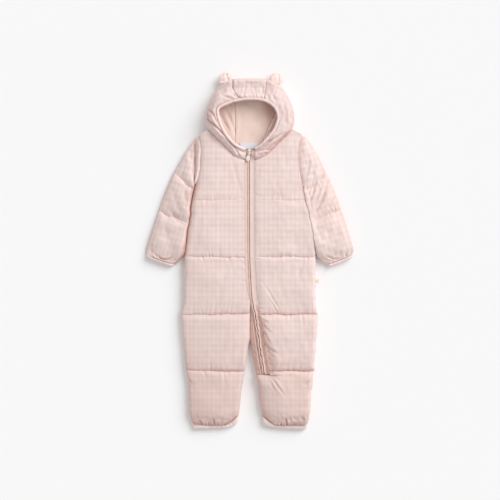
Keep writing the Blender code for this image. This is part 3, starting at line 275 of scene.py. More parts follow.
# the materials that take painted shade
shadePaintedNames = ("jerseyLining", "zipTape", "zipPlacket")
plain = {name: plainMaterial(name, *finish, specular=shineOf.get(name, 0.35), paintedShade=name in shadePaintedNames)
         for name, finish in plainFinishes.items()}
materials = {
    "checked_shell": checkedMaterial("checkedShell", {}),
    "hood_lining": plain["jerseyLining"], "plain_binding": plain["plainBinding"],
    "zip_tape": plain["zipTape"], "zip_plastic": plain["zipPlastic"],
    "label_satin": plain["labelSatin"], "tag_ribbon": plain["tagRibbon"],
}
hoodMaterial = checkedMaterial("checkedHood", {
    "base": (0.908, 0.743, 0.712), "band": (0.820, 0.645, 0.622), "grey": (0.775, 0.653, 0.672),
    "fineShare": 0.24})
# a darker, redder copy of the check: painted shade for the strip beside the zip down the leg
shadedStripMaterial = checkedMaterial("checkedStripShaded", {
    "base": (0.80, 0.585, 0.530), "band": (0.72, 0.49, 0.44), "grey": (0.68, 0.48, 0.44)})


# numbers and meshes

def smooth(keys, values, wanted):
    # cubic between the keys; its slope at each is the neighbours' harmonic mean, so it never overshoots
    keys, values = np.asarray(keys, float), np.asarray(values, float)
    order = np.argsort(keys)
    keys, values = keys[order], values[order]
    wanted = np.clip(wanted, keys[0], keys[-1])
    steps = np.diff(keys)
    slopes = np.diff(values) / steps
    tangents = np.zeros(len(keys))
    tangents[0], tangents[-1] = slopes[0], slopes[-1]
    rising = slopes[:-1] * slopes[1:] > 0
    sums = np.where(rising, slopes[:-1] + slopes[1:], 1)
    tangents[1:-1] = np.where(rising, 2 * slopes[:-1] * slopes[1:] / sums, 0)
    i = np.clip(np.searchsorted(keys, wanted, side="right") - 1, 0, len(steps) - 1)
    t = (wanted - keys[i]) / steps[i]
    return (values[i] * (1 + 2 * t) * (1 - t) ** 2 + values[i + 1] * t ** 2 * (3 - 2 * t)
            + steps[i] * (tangents[i] * t * (1 - t) ** 2 - tangents[i + 1] * t ** 2 * (1 - t)))


def clamped(value):
    # no less than 0 and no more than 1
    return np.clip(value, 0, 1)


def joined(*numbers):
    # arrays of x, of y and so on, joined into one array of points
    return np.stack(numbers, axis=-1)


def sideBySide(*parts):
    # arrays with the same number of rows, side by side
    return np.concatenate(parts, axis=1)


def column(rows, number):
    # one column of a table
    return np.array([row[number] for row in rows], float)


def tableAt(rows, number, wanted):
    # a column of a table, read smoothly at these values of its first column
    return smooth(column(rows, 0), column(rows, number), wanted)


def rowsAt(rows, places):
    # every column of a table, read smoothly at these places between its rows, the first of which is 0
    numbers = np.arange(len(rows), dtype=float)
    return [smooth(numbers, column(rows, i), places) for i in range(len(rows[0]))]


def runLengths(points):
    # how far along a run of points each of them lies: the sums of the distances between neighbours
    return np.concatenate([[0], np.cumsum(np.linalg.norm(np.diff(points, axis=0), axis=-1))])


def unit(directions):
    # each direction over its own length
    return directions / np.linalg.norm(directions, axis=-1)[..., None]


def turnedBy(places, angle):
    # x cos a + y sin a, and y cos a - x sin a
    x, y, c, s = places[..., 0], places[..., 1], math.cos(angle), math.sin(angle)
    return joined(x * c + y * s, y * c - x * s)


def raised(places, heights):
    # flat places with their heights as a third number
    return np.concatenate([places, np.broadcast_to(heights, places.shape[:-1])[..., None]], axis=-1)


def rise(distance, reach):
    # a quarter circle from 0 to 1: sqrt(1 - (1 - d / reach)^2)
    return np.sqrt(1 - (1 - clamped(distance / reach)) ** 2)


def arc(distance, reach):
    # a parabola from 0 to 1 that ends level: 1 - (1 - d / reach)^2
    return 1 - (1 - clamped(distance / reach)) ** 2


def rolled(distance, share, steep, slow):
    # s * quarter circle of the steep width + (1 - s) * parabola of the slow one
    return share * rise(distance, steep) + (1 - share) * arc(distance, slow)


def bell(distance, width):
    # exp(-(d / width)^2)
    return np.exp(-(distance / width) ** 2)


def step(value, low, high):
    # 3 t^2 - 2 t^3 between low and high
    t = clamped((value - low) / (high - low))
    return t * t * (3 - 2 * t)


def lumps(x, y, size, key, waves=14):
    # an uneven field: sqrt(2 / n) * sum of cos(2 pi (x cos a + y sin a) / l + p), with a, l and p seeded
    made = np.random.default_rng(seed * 1000 + key)
    angles, phases = made.uniform(0, math.pi, waves), made.uniform(0, 2 * math.pi, waves)
    lengths = size * made.uniform(0.7, 1.5, waves)
    total = np.zeros(np.broadcast(x, y).shape)
    for a, p, l in zip(angles, phases, lengths):
        total += np.cos(2 * math.pi * (x * math.cos(a) + y * math.sin(a)) / l + p)
    return total * math.sqrt(2 / waves)


def polylineAway(x, y, points):
    # distance from each place to a run of points, and how far along the run, 0 to 1, the nearest one lies
    points = np.asarray(points, float)
    lengths, starts = np.linalg.norm(np.diff(points, axis=0), axis=1), runLengths(points)
    away, along = np.full(np.shape(x), 1e9), np.zeros(np.shape(x))
    for (x0, y0), (x1, y1), length, start in zip(points[:-1], points[1:], lengths, starts):
        t = clamped(((x - x0) * (x1 - x0) + (y - y0) * (y1 - y0)) / length ** 2)
        d = np.hypot(x - x0 - t * (x1 - x0), y - y0 - t * (y1 - y0))
        nearer = d < away
        away = np.where(nearer, d, away)
        along = np.where(nearer, (start + t * length) / starts[-1], along)
    return away, along


def creases(x, y, rows):
    # each row presses a trough of depth * exp(-(d / w)^2) with a lip beside it, fading at both ends
    change = np.zeros(np.shape(x))
    for points, width, depth in rows:
        away, along = polylineAway(x, y, points)
        fade = clamped(np.minimum(along, 1 - along) * 4 + 0.15)
        change += depth * fade * (0.32 * bell(away - 2.3 * width, 1.2 * width) - bell(away, width))
    return change


def puckers(x, fromLine, low, high, key, spacing=9.0, depth=1.3, reach=13.0):
    # seeded folds square to a seam: -depth * exp(-((x - x0 - lean d) / w)^2) * exp(-(d / l)^1.5)
    made = np.random.default_rng(seed * 1000 + key)
    count = max(2, int((high - low) / spacing))
    places = np.linspace(low, high, count) + made.uniform(-0.45, 0.45, count) * spacing
    change = np.zeros(np.broadcast(x, fromLine).shape)
    d = np.abs(fromLine)
    for place in places:
        above = fromLine > 0 if made.random() < 0.72 else fromLine < 0
        width, length = made.uniform(1.7, 3.4), reach * made.uniform(0.5, 1.5)
        strength, lean = depth * made.uniform(0.25, 1.35), made.uniform(-0.35, 0.35)
        across = x - place - lean * d
        shape = 0.45 * bell(np.abs(across) - 2.2 * width, 1.3 * width) - bell(across, width)
        change += strength * shape * np.where(above, np.exp(-(d / length) ** 1.5), np.exp(-d / 0.8))
    return change


def shadeShareInFold(change, full):
    # share of painted shade at a place that is pressed in: -change / full, between 0 and 1
    return clamped(-change / full)


def dress(obj, material):
    # the piece wears this material alone
    obj.data.materials.clear()
    obj.data.materials.append(material)


def makeMesh(name, points, faces, slot, body="suit"):
    # points in millimetres, faces as lists of corners, turned outwards
    mesh = bpy.data.meshes.new(name)
    mesh.from_pydata((np.asarray(points) * mm).tolist(), [], faces)
    work = bmesh.new()
    work.from_mesh(mesh)
    bmesh.ops.recalc_face_normals(work, faces=work.faces)
    work.to_mesh(mesh)
    work.free()
    mesh.shade_smooth()
    mesh.materials.append(materials[slot])
    obj = bpy.data.objects.new(name, mesh)
    scene.collection.objects.link(obj)
    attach(obj, body)
    return obj


def ringFaces(count, around, loop=False):
    # quads between neighbouring rings, and one face over each end unless the last ring meets the first
    index = np.arange(count * around).reshape(count, around)
    low, high = (index, np.roll(index, -1, 0)) if loop else (index[:-1], index[1:])
    faces = np.stack([low, np.roll(low, -1, 1), np.roll(high, -1, 1), high], axis=-1).reshape(-1, 4).tolist()
    if not loop:
        faces += [index[0].tolist(), index[-1].tolist()]
    return faces


def loft(name, rings, slot, body="suit", loop=False, grain=None, paintedShade=None):
    # closed surface through rings of the same count; grain is the cloth's own x and y of each point, in
    # millimetres, and the last argument how much painted shade each point takes, from 0 to 1
    rings = np.asarray(rings, float)
    obj = makeMesh(name, rings.reshape(-1, 3), ringFaces(*rings.shape[:2], loop), slot, body)
    if grain is not None:
        flat = np.zeros((rings.shape[0] * rings.shape[1], 3))
        flat[:, :2] = np.asarray(grain).reshape(-1, 2) * mm
        if paintedShade is not None:
            flat[:, 2] = clamped(np.asarray(paintedShade).reshape(-1)) * mm
        layer = obj.data.attributes.new("grain", "FLOAT_VECTOR", "POINT")
        layer.data.foreach_set("vector", flat.ravel())
    return obj


def eased(low, high, spacing, ease=0.62):
    # places from low to high, closer together at both ends: t - ease sin(2 pi t) / (2 pi)
    t = np.linspace(0, 1, max(4, int(abs(high - low) / spacing) + 1))
    return low + (high - low) * (t - ease * np.sin(2 * math.pi * t) / (2 * math.pi))


# thread

thread = {"pitch": 3.2, "length": 2.3, "radius": 0.27, "lift": 0.05, "dive": 0.3}


def stitchPoints(run, t):
    # one stitch per pitch along a run of points: three square rings, the outer two smaller and sunk in
    lengths = runLengths(run)
    centres = np.arange(t["pitch"] / 2, lengths[-1], t["pitch"])
    offsets = np.array((-0.5, 0.0, 0.5)) * t["length"]
    at = np.clip(centres[:, None] + offsets, 0, lengths[-1])
    middle = np.stack([np.interp(at, lengths, run[:, i]) for i in range(3)], axis=-1)
    along = middle[:, 2] - middle[:, 0]
    along /= np.linalg.norm(along, axis=1)[:, None] + 1e-9
    sideways = joined(along[:, 1], -along[:, 0], 0 * along[:, 0])
    sideways /= np.linalg.norm(sideways, axis=1)[:, None] + 1e-9
    up = np.array((0.0, 0.0, 1.0))
    middle = middle + up * np.array((-t["dive"], t["lift"], -t["dive"]))[None, :, None]
    radii = t["radius"] * np.array((0.6, 1.0, 0.6))
    turn = np.linspace(0, 2 * math.pi, 4, endpoint=False) + math.pi / 4
    ring = sideways[:, None, None, :] * np.cos(turn)[:, None] + up * np.sin(turn)[:, None]
    return (middle[:, :, None, :] + ring * radii[None, :, None, None]).reshape(-1, 12, 3)


def stitches(name, runs, settings=None):
    # all the stitches of one piece as one object of thread
    t = {**thread, **(settings or {})}
    points = np.concatenate([stitchPoints(np.asarray(run, float), t) for run in runs if len(run) > 2])
    one = ringFaces(3, 4)
    faces = [[12 * i + corner for corner in face] for i in range(len(points)) for face in one]
    dress(makeMesh(name, points.reshape(-1, 3), faces, "plain_binding"), plain["thread"])


# body panels

waistLine, crotchLine, kneeLine = -15.0, -145.5, -276.5     # the three deep quilting lines, y
body = {
    "rows": (    # y, distance out of the right and left side, wall at that edge
        (278.5, 97.5, 98.5, 9), (265, 115.5, 119, 10), (248, 113.5, 114, 10), (228, 112.5, 111, 10),
        (196, 113.5, 112, 10), (168, 119, 116.5, 9), (144, 127.5, 121.5, 6), (117, 134.5, 127, 3),
        (85, 139, 135, 3), (52, 143.5, 142, 3), (20, 147.7, 147, 3), (-14, 151.3, 151.8, 3),
        (-95, 151.8, 151.3, 3), (-132, 155.5, 154, 3), (-148, 158.7, 157.5, 3), (-171, 156.4, 156.4, 3),
        (-228, 151.5, 151.8, 3), (-276, 146.7, 148.6, 3), (-325, 140.5, 142.6, 3), (-366, 139.6, 140.3, 3),
        (-388, 136.5, 136.5, 3), (-401, 132, 133, 4),
    ),
    "innerLeg": (    # y, distance out of the right and left leg's inner edge
        (-203, 0.2, 0.2), (-219, 3.9, 3.9), (-247, 6.9, 6.9), (-274, 11.5, 12.2), (-302, 16, 17.9),
        (-329, 20.2, 20.7), (-357, 22.3, 23), (-375, 24, 25.3), (-401, 26.5, 28.5),
    ),
    "neck": (    # the seam to the hood: y, distance out
        (278, 97), (262.5, 81.7), (246.8, 64.9), (231.8, 50.6), (219, 36.8), (211.6, 21.9), (209, 12),
    ),
    "besideZip": {    # y, height at the tape, share of the rest gained at once, over what distance
        right: ((230, 13.8, 0, 9), (-20, 13.8, 0, 9), (-112, 14.2, 0, 12),
                (-190, 14.5, 0, 14)),
        left: ((230, 11.2, 0.30, 12), (20, 11, 0.40, 14), (-60, 10.6, 0.70, 24),
               (-105, 10.6, 0.9, 18), (-150, 12.2, 1, 12), (-196, 12.6, 1, 12),
               (-230, 11, 1, 24), (-286, 10.6, 1, 26)),
    },
    "rolls": {    # y, then share of the steep roll and both widths, for the outer and inner edge
        right: ((280, 0.80, 17, 35, 1, 14, 30), (170, 0.75, 16, 36, 1, 14, 30),
                (60, 0.70, 14, 42, 1, 12, 30), (0, 0.62, 13, 55, 1, 12, 30),
                (-60, 0.50, 11, 100, 1, 12, 30), (-130, 0.36, 10, 130, 1, 11, 30),
                (-200, 0.24, 8, 145, 1, 10, 20), (-290, 0.2, 6, 110, 1, 9, 20),
                (-345, 0.2, 6, 88, 1, 9, 20), (-401, 0.2, 6, 80, 1, 9, 20)),
        left: ((280, 1, 12, 30, 1, 14, 30), (0, 1, 10, 30, 1, 14, 30),
               (-286, 1, 9, 30, 0.5, 9, 60), (-330, 1, 9, 30, 0.24, 7, 62),
               (-401, 1, 9, 30, 0.2, 6, 60)),
    },
    "nape": ((276.0, 96.5), (262.0, 76.0), (247.5, 50.0), (236.5, 27.0), (230.0, 9.0), (227.0, 0.2)),
    "zip": (    # y, x of the chain
        (232, -1.4), (100, -1.2), (-14, -0.5), (-60, 1.6), (-90, 3), (-113, 5.2), (-145, 11.7), (-171, 16.1),
        (-205, 20.7), (-233, 24.5), (-260, 29.2), (-286, 33.6),
    ),
    "lines": {117.0: 2.6, waistLine: 5.4, crotchLine: 9.8, kneeLine: 11.0},    # y and how deep it is drawn
    "reachAbove": (15.0, 2.2), "reachBelow": (16.0, 2.6), "cliff": 0.5, "sleeveWall": 16.5,
    "frontCrest": 16.2, "legCrest": 19.5, "edgeRoll": 30.0, "neckEdge": 13.2, "crown": 0.7,
    "backThick": 11.0, "hemSplit": 6.5, "hemWall": 7.5, "hemEnd": -401.0, "hemFall": 24.0, "hemLift": 20.0,
    "hemCorner": 0.27, "crotch": -203.0, "bend": -112.0, "zipEnd": -286.0, "gap": 0.3,
    "lip": {right: 11.0, left: 12.0}, "legLip": 7.2, "lipThick": 5.7, "zipSlope": 95.0,
    "lineWander": 1.1, "sideWander": 0.7, "lumpSize": 62.0, "lumpHeight": 0.75,
    "rippleSize": 21.0, "rippleHeight": 0.22, "frontTop": 277.6, "backTop": 275.6, "cornerDrop": 4.5,
    "linePucker": {"spacing": 12.5, "reach": 15.0, "deep": 1.5, "shallow": 0.7},
    "hemGather": {"spacing": 11.0, "depth": 2.2, "reach": 6.0}, "hemLump": 0.7,
    "besideLeast": 7.8, "leastThick": 2.4, "legEdge": 3.0, "seamDip": 1.3, "stitchLift": 9.0,
}
frontShadeShares = {    # painted shade: how dark each place is painted, as a share of the shade colour
    "crease": 0.5, "gather": 0.7, "zipPucker": 0.4, "besideLegZip": 0.55, "lowEdge": 0.25, "neckSeam": 0.3,
    "aboveHem": 0.24, "rightLegSide": 0.22, "leftLegInside": 0.4, "besideArm": 0.8,
    "aboveLine": {waistLine: 0.12, crotchLine: 0.22, kneeLine: 0.38},
}
# each crease: its points, its width and its depth
bodyCreases = {
    right: (
        (((-39, 209), (-28, 166), (-16, 128)), 4, 2.2), (((-142, -292), (-134, -303), (-124, -309)), 3, 2),
        (((-139, -306), (-128, -318)), 3, 1.4), (((-10, 90), (-22, 62)), 4, 1),
        (((-118, -388), (-107, -402)), 1.9, 3.4), (((-84.4, -384), (-81, -403)), 1.9, 3.2),
        (((-59.5, -402), (-51, -389)), 1.9, 2.4), (((-60, -401), (-41, -390), (-26, -376)), 2.6, 2.4),
        (((-113, -394), (-110, -404)), 1.7, 2.6), (((-102.4, -396), (-101, -405)), 1.7, 3),
        (((-95.5, -395), (-93, -405)), 1.7, 2.8), (((-88, -396), (-87, -405)), 1.6, 2.4),
        (((-73.6, -396), (-72.5, -404)), 1.7, 2.4), (((-128, -396), (-112, -399)), 2, 1.6),
        (((-124, -376), (-119, -386)), 2.4, 1.2),
    ),
    left: (
        (((28, 202), (20, 182), (14, 163)), 4, 1.8),
        (((14, -62), (28, -72), (42, -92), (57, -118), (69, -140)), 2, 1.1),
        (((52, -122), (58, -134), (62, -142)), 1.9, 1.2), (((24, -156), (32, -160), (44, -166)), 1.9, 1.5),
        (((28, -166), (34, -174), (43, -184), (52, -190)), 1.9, 1.5),
        (((30, -184), (38, -199), (48, -214)), 2, 2),
        (((33, -206), (40, -222), (52, -229), (64, -236)), 2, 2.6),
        (((40, -222), (46, -238), (60, -246)), 1.9, 1.6), (((40, -238), (46, -254), (50, -266)), 1.9, 1.3),
        (((40, -279), (50, -292), (66, -314), (80, -333)), 2, 2),
        (((39, -281), (47, -298), (58, -325)), 1.9, 1.5), (((38, -286), (43, -298), (49, -311)), 2, 1.2),
        (((46, -282), (60, -292), (72, -300)), 2, 0.8), (((142, -292), (132, -303), (123, -309)), 3, 2),
        (((118, -40), (110, -66)), 5, 1),
        (((32, -381), (41, -389), (51, -399)), 1.9, 3.4), (((81.7, -385), (86.7, -406)), 2.3, 3.6),
        (((71.3, -395), (72.5, -405)), 1.7, 2.8), (((78.2, -396), (79, -406)), 1.6, 2.8),
        (((92, -396), (92.5, -406)), 1.7, 2.6), (((95, -399), (108, -398), (121, -399)), 2.2, 2),
        (((64, -397), (65, -404)), 1.7, 2), (((118, -380), (126, -392)), 2.4, 1.4),
        (((130, -376), (134, -390)), 2, 1.6),
    ),
}


def sideOut(side, y):
    # the side seam from its table, drawn in unevenly by its stitching: -w (1 + lumps) below the underarm
    uneven = body["sideWander"] * np.clip(1 + lumps(y, 0 * y, 24.0, 90 + side, 8), 0, 3)
    straight = tableAt(body["rows"], 1 if side == right else 2, y)
    return straight - uneven * (1 - step(y, 90, 140)) * step(y, -400, -380)


def legIn(side, y):
    # the leg's inner edge, out from the middle, from its table
    return tableAt(body["innerLeg"], 1 if side == right else 2, y)


def lipWidth(side, y):
    # how far the panel's thin lip runs under the tape: less down the leg
    full = body["lip"][side]
    return full - (full - body["legLip"] if side == right else 0.0) * step(-y, 60, -body["bend"])


def zipX(y):
    # the middle of the chain, from its table
    return tableAt(body["zip"], 1, y)


def seamOut(rows, y):
    # a seam's distance out, straight between the rows of its table
    return np.interp(y, column(rows, 0)[::-1], column(rows, 1)[::-1])


def splitHeight(y):
    # between the back and the front: level, and lower where the elastic draws the hem flat
    b = body
    return b["hemSplit"] + (b["backThick"] - b["hemSplit"]) * clamped((y - b["hemEnd"]) / 30)


def hemLift(y, part):
    # how far the hem is drawn up: much at its inner corner, a little at its outer one, and less above
    b = body
    near = clamped(1 - (y - b["hemEnd"]) / 70) ** 1.5
    inner = b["hemLift"] * near * clamped(1.08 - part / b["hemCorner"]) ** 1.35
    outer = clamped(1 - (y - b["hemEnd"]) / 16) * clamped((part - 0.93) / 0.07) ** 2
    return inner + b["cornerDrop"] * outer


def bodyStations(top, end, steps):
    # rows from the top to the end, closer at each quilting line, with both sides of every step in the edge
    marks = [top] + [y for y in body["lines"] if end < y < top] + [end]
    rows = np.concatenate([eased(a, b, 2.1)[:-1] for a, b in zip(marks[:-1], marks[1:])] + [[end]])
    for place in steps:
        rows = rows[np.abs(rows - place) > 0.8]
        rows = np.concatenate([rows, [place + 0.1, place - 0.1]])
    return np.sort(rows)[::-1]


def panelColumns(inner, outer, lip):
    # distances out across a panel: under the tape, then close steps from each edge and even ones between
    near = np.array([0.06, 0.5, 1.2, 2.2, 3.8, 5.6, 7.8, 10.2, 12.8, 15.6, 18.4, 21.2, 24.0])
    far = np.array([26.0, 23.2, 20.4, 17.8, 15.2, 12.8, 10.6, 8.6, 6.8, 5.2, 3.8, 2.6, 1.6, 0.8, 0.0])
    width = outer - inner
    squeeze = np.minimum(1, width / 90)[:, None]
    start = inner[:, None] + squeeze * np.concatenate([[0.0, 0.5], [1.0]]) * lip[:, None]
    start = sideBySide(start, inner[:, None] + squeeze * (lip[:, None] + near))
    end = outer[:, None] - squeeze * far
    share = np.linspace(0, 1, 84)[1:-1]
    middle = start[:, -1:] + (end[:, :1] - start[:, -1:]) * share
    return sideBySide(start, middle, end)


def quiltedWall(y, x, key):
    # crest - depth * (s exp(-d / wide) + (1 - s) exp(-d / close)) at each line, with a slow crown between
    b = body
    thick = np.interp(y, (-276, -145), (b["legCrest"], b["frontCrest"]))
    near = np.full(np.shape(y), 1e9)
    for line, depth in b["lines"].items():
        d = y - line
        wide = np.where(d > 0, b["reachAbove"][0], b["reachBelow"][0])
        close = np.where(d > 0, b["reachAbove"][1], b["reachBelow"][1])
        share = np.where(d > 0, 1 - b["cliff"], 0.28)
        thick = thick - depth * (share * np.exp(-np.abs(d) / wide) + (1 - share) * np.exp(-np.abs(d) / close))
        near = np.minimum(near, np.abs(d))
    thick += b["crown"] * rise(near, 60)
    calm = step(near, 0, 14)
    thick += b["lumpHeight"] * lumps(x, y, b["lumpSize"], key) * calm
    thick += b["rippleHeight"] * lumps(x, y, b["rippleSize"], key + 1)
    return thick


def frontGrid(side, key):
    # where a front's points lie: stations down the panel, columns out across it, and distances from its edges
    b = body
    lastZip = b["bend"] if side == right else b["zipEnd"]
    rows = bodyStations(b["frontTop"], b["hemEnd"], (lastZip, b["crotch"]))
    neckEnd = b["neck"][-1][0] - 0.5
    onNeck, onZip = rows > neckEnd, (rows <= neckEnd) & (rows > lastZip)
    below = np.where(onZip, side * zipX(rows), legIn(side, rows)) + b["gap"] / 2
    inner = np.where(onNeck, seamOut(b["neck"], rows - 0.3), below)
    outer = sideOut(side, rows) - 0.05
    lip = np.where(onNeck, 0.6, lipWidth(side, rows))
    out = panelColumns(inner, outer, lip)
    x = side * out
    nominal = np.broadcast_to(rows[:, None], out.shape)
    # the quilting lines wander a little
    bend = sum(bell(rows - line, 26) * i for i, line in zip((0.8, -1.0, 1.0, -0.7), b["lines"]))[:, None]
    wave = b["lineWander"] * lumps(x, 0 * x, 75.0, key + 5, 6) + 0.35 * lumps(x, 0 * x, 16.0, key + 6, 6)
    part = (out - inner[:, None]) / (outer - inner)[:, None]
    y = nominal + wave * bend + hemLift(nominal, part)
    # below the zip the tape's edge gives way to the leg's inner edge
    turned = step(lastZip - rows, 0, 75 if side == right else 35)[:, None]
    tapeEdge = side * zipX(np.clip(rows, lastZip, b["neck"][-1][0])) + b["gap"] / 2 + lipWidth(side, rows)
    fromTape = np.maximum(out - tapeEdge[:, None] * (1 - turned) - inner[:, None] * turned, 0)
    return SimpleNamespace(
        key=key, rows=rows, lastZip=lastZip, onNeck=onNeck, onZip=onZip, inner=inner, outer=outer, lip=lip,
        out=out, x=x, y=y, nominal=nominal, turned=turned, fromTape=fromTape, fromInner=out - inner[:, None],
        fromOuter=outer[:, None] - out, fromHem=nominal - b["hemEnd"])


def frontCrest(side, g):
    # the padding's height before its edges are rolled: the quilted wall, puckers, gathers and creases
    b = body
    crest = quiltedWall(g.nominal, g.x, g.key)
    pucker, gather = b["linePucker"], b["hemGather"]
    for number, (line, depth) in enumerate(b["lines"].items()):
        low, high = sorted((side * 20, side * (float(sideOut(side, line)) - 6)))
        strength = pucker["deep"] if depth > 5 else pucker["shallow"]
        crest += puckers(g.x, g.nominal - line, low, high, g.key + 10 + number, pucker["spacing"], strength,
                         pucker["reach"])
    # small gathers where the elastic draws the hem in
    low, high = sorted((side * (g.inner[-1] + 4), side * (g.outer[-1] - 4)))
    crest = b["hemWall"] + (crest - b["hemWall"]) * np.sqrt(clamped(g.fromHem / b["hemFall"]))
    g.gathers = puckers(g.x, g.fromHem + 0.01, low, high, g.key + 30, gather["spacing"], gather["depth"],
                        gather["reach"]) * step(g.fromHem, -2, 1)
    crest += g.gathers
    crest += b["hemLump"] * lumps(g.x, g.y, 11.0, g.key + 31) * bell(g.fromHem - 8, 14)
    g.pressed = creases(g.x, g.y, bodyCreases[side])
    return crest + g.pressed


def frontThickness(side, g, crest):
    # the crest rolled down to the side, the leg's inner edge, the neck and the tape: the least of them all
    b = body
    rolls = [tableAt(b["rolls"][side], i, g.rows)[:, None] for i in range(1, 7)]
    # the left sleeve lies close against the side, which stands nearly as high as the panel there
    edge = tableAt(b["rows"], 3, g.rows)[:, None]
    edge = edge + (b["sleeveWall"] - edge) * (step(g.rows, -16, 20) * (side == left))[:, None]
    sideRise = edge + (crest - edge) * rolled(g.fromOuter, *rolls[:3])
    # beside the zip a share is gained at once and the rest slowly: h + (c - h) (s near + (1 - s) far)
    shoulder, share, reach = (tableAt(b["besideZip"][side], i, g.rows)[:, None] for i in (1, 2, 3))
    shoulder = np.minimum(shoulder, crest)
    flank = step(-g.rows, 205, 235)[:, None]
    near = arc(g.fromTape, reach) * (1 - flank) + step(g.fromTape, 1, reach) * flank
    gentle = share * near + (1 - share) * np.sin(math.pi / 2 * clamped(g.fromTape / b["zipSlope"]))
    g.drawn = puckers(g.nominal, g.fromTape + 0.01, -118, 196, g.key + 40, 15.0, 0.8, 12.0)
    g.drawn += puckers(g.nominal, g.fromTape + 0.01, -278, -112, g.key + 41, 8.0, 1.6, 9.0) * (side == left)
    beside = shoulder + (crest - shoulder) * gentle + g.drawn * step(g.fromTape, 0, 3)
    legRise = b["legEdge"] + (crest - b["legEdge"]) * rolled(g.fromInner, *rolls[3:])
    innerRise = np.maximum(beside, b["besideLeast"]) * (1 - g.turned) + legRise * g.turned
    # along the neck the panel is drawn down to the seam
    g.fromNeck = polylineAway(g.out, g.nominal, [(o, h) for h, o in b["neck"]])[0]
    drop = b["seamDip"] * bell(g.fromNeck, 1.4)
    neckRise = b["neckEdge"] + (crest - b["neckEdge"]) * arc(g.fromNeck, 26) - drop
    innerRise = np.minimum(innerRise, np.where(g.nominal > 150, neckRise, 99.0))
    # under the tape it is as thin as the lip
    innerRise = np.where(g.onZip[:, None] & (g.fromInner <= g.lip[:, None] + 0.02), b["lipThick"], innerRise)
    innerRise[g.onNeck & (g.inner < b["neck"][-1][1] + 0.1), :3] = b["lipThick"]
    return np.maximum(np.minimum(sideRise, innerRise), b["leastThick"])


def frontPaintedShade(side, g, thick):
    # painted shade at each point: the shares of the front's shade table, each where its own shape is, added
    # up
    f = frontShadeShares
    onLeg = step(-g.rows, 120, 175)[:, None] * (side == left)
    low = step(-g.rows, 150, 260)[:, None]
    paintedShade = f["crease"] * shadeShareInFold(g.pressed, 2.6) * (1 + 0.6 * bell(g.fromHem, 30))
    paintedShade += f["gather"] * shadeShareInFold(g.gathers, 2.6)
    paintedShade += f["zipPucker"] * shadeShareInFold(g.drawn, 1.6) * bell(g.fromTape, 16)
    paintedShade += f["besideLegZip"] * (1 - step(g.fromTape, 1, 24)) * onLeg * (g.rows > g.lastZip)[:, None]
    neckSeam = f["neckSeam"] * bell(g.fromNeck, 3.0) * (g.nominal > 150)
    paintedShade += f["lowEdge"] * (1 - step(thick, 3, 9)) * (g.fromOuter < 30) + neckSeam
    legSide = f["rightLegSide"] * low * (side == right) * (1 - step(g.fromOuter, 3, 34))
    paintedShade += f["aboveHem"] * (1 - step(g.fromHem, 2, 34)) + legSide
    belowZip = step(-g.rows, 285, 300)[:, None]
    paintedShade += f["leftLegInside"] * (side == left) * (1 - step(g.fromInner, 2, 28)) * belowZip
    besideArm = (side == right) * step(g.nominal, -20, 5) * (1 - step(g.nominal, 152, 170))
    paintedShade += f["besideArm"] * besideArm * (1 - step(g.fromOuter, 1, 6 + 8 * bell(g.nominal - 144, 26)))
    for line, share in f["aboveLine"].items():
        paintedShade += share * np.where(g.nominal > line, np.exp(-np.abs(g.nominal - line) / 10.0), 0.0)
    return paintedShade


def frontPanel(side):
    # torso and leg in one: the grid with its thickness on the back's height, closed by a plain underside
    b = body
    name = "front_" + sideWord[side]
    g = frontGrid(side, 100 if side == right else 200)
    thick = frontThickness(side, g, frontCrest(side, g))
    floor = splitHeight(g.nominal) + b["gap"]
    top = joined(g.x, g.y, floor + thick)
    columns = g.out.shape[1]
    under = [-1, int(columns * 0.7), int(columns * 0.45), int(columns * 0.2), 0]
    rest = top[:, under].copy()
    rest[:, :, 2] = floor[:, under]
    rings = sideBySide(top, rest)
    # painted shade on the top, none on the underside
    paintedShade = sideBySide(frontPaintedShade(side, g, thick), 0 * rest[:, :, 0])
    # the check runs on round the side: the extra length of a quarter round of the wall
    roll = np.linspace(0, b["edgeRoll"], 40)
    extra = runLengths(np.column_stack([roll, 18 * rise(roll, b["edgeRoll"])])) - roll
    inward = np.abs(g.outer[:, None] - side * rings[:, :, 0])
    across = rings[:, :, 0] + side * (extra[-1] - np.interp(inward, roll, extra))
    grain = joined(across, rings[:, :, 1])
    obj = loft("cloth_" + name, rings, "checked_shell", grain=grain, paintedShade=paintedShade)
    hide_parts(name)
    runs = []
    for line in b["lines"]:
        row = top[int(np.argmin(np.abs(g.rows - line)))]
        runs.append(row[(row[:, 2] > floor[0, 0] + b["stitchLift"]) & (np.abs(row[:, 0]) > 14)])
    stitches("stitches_" + name, runs)


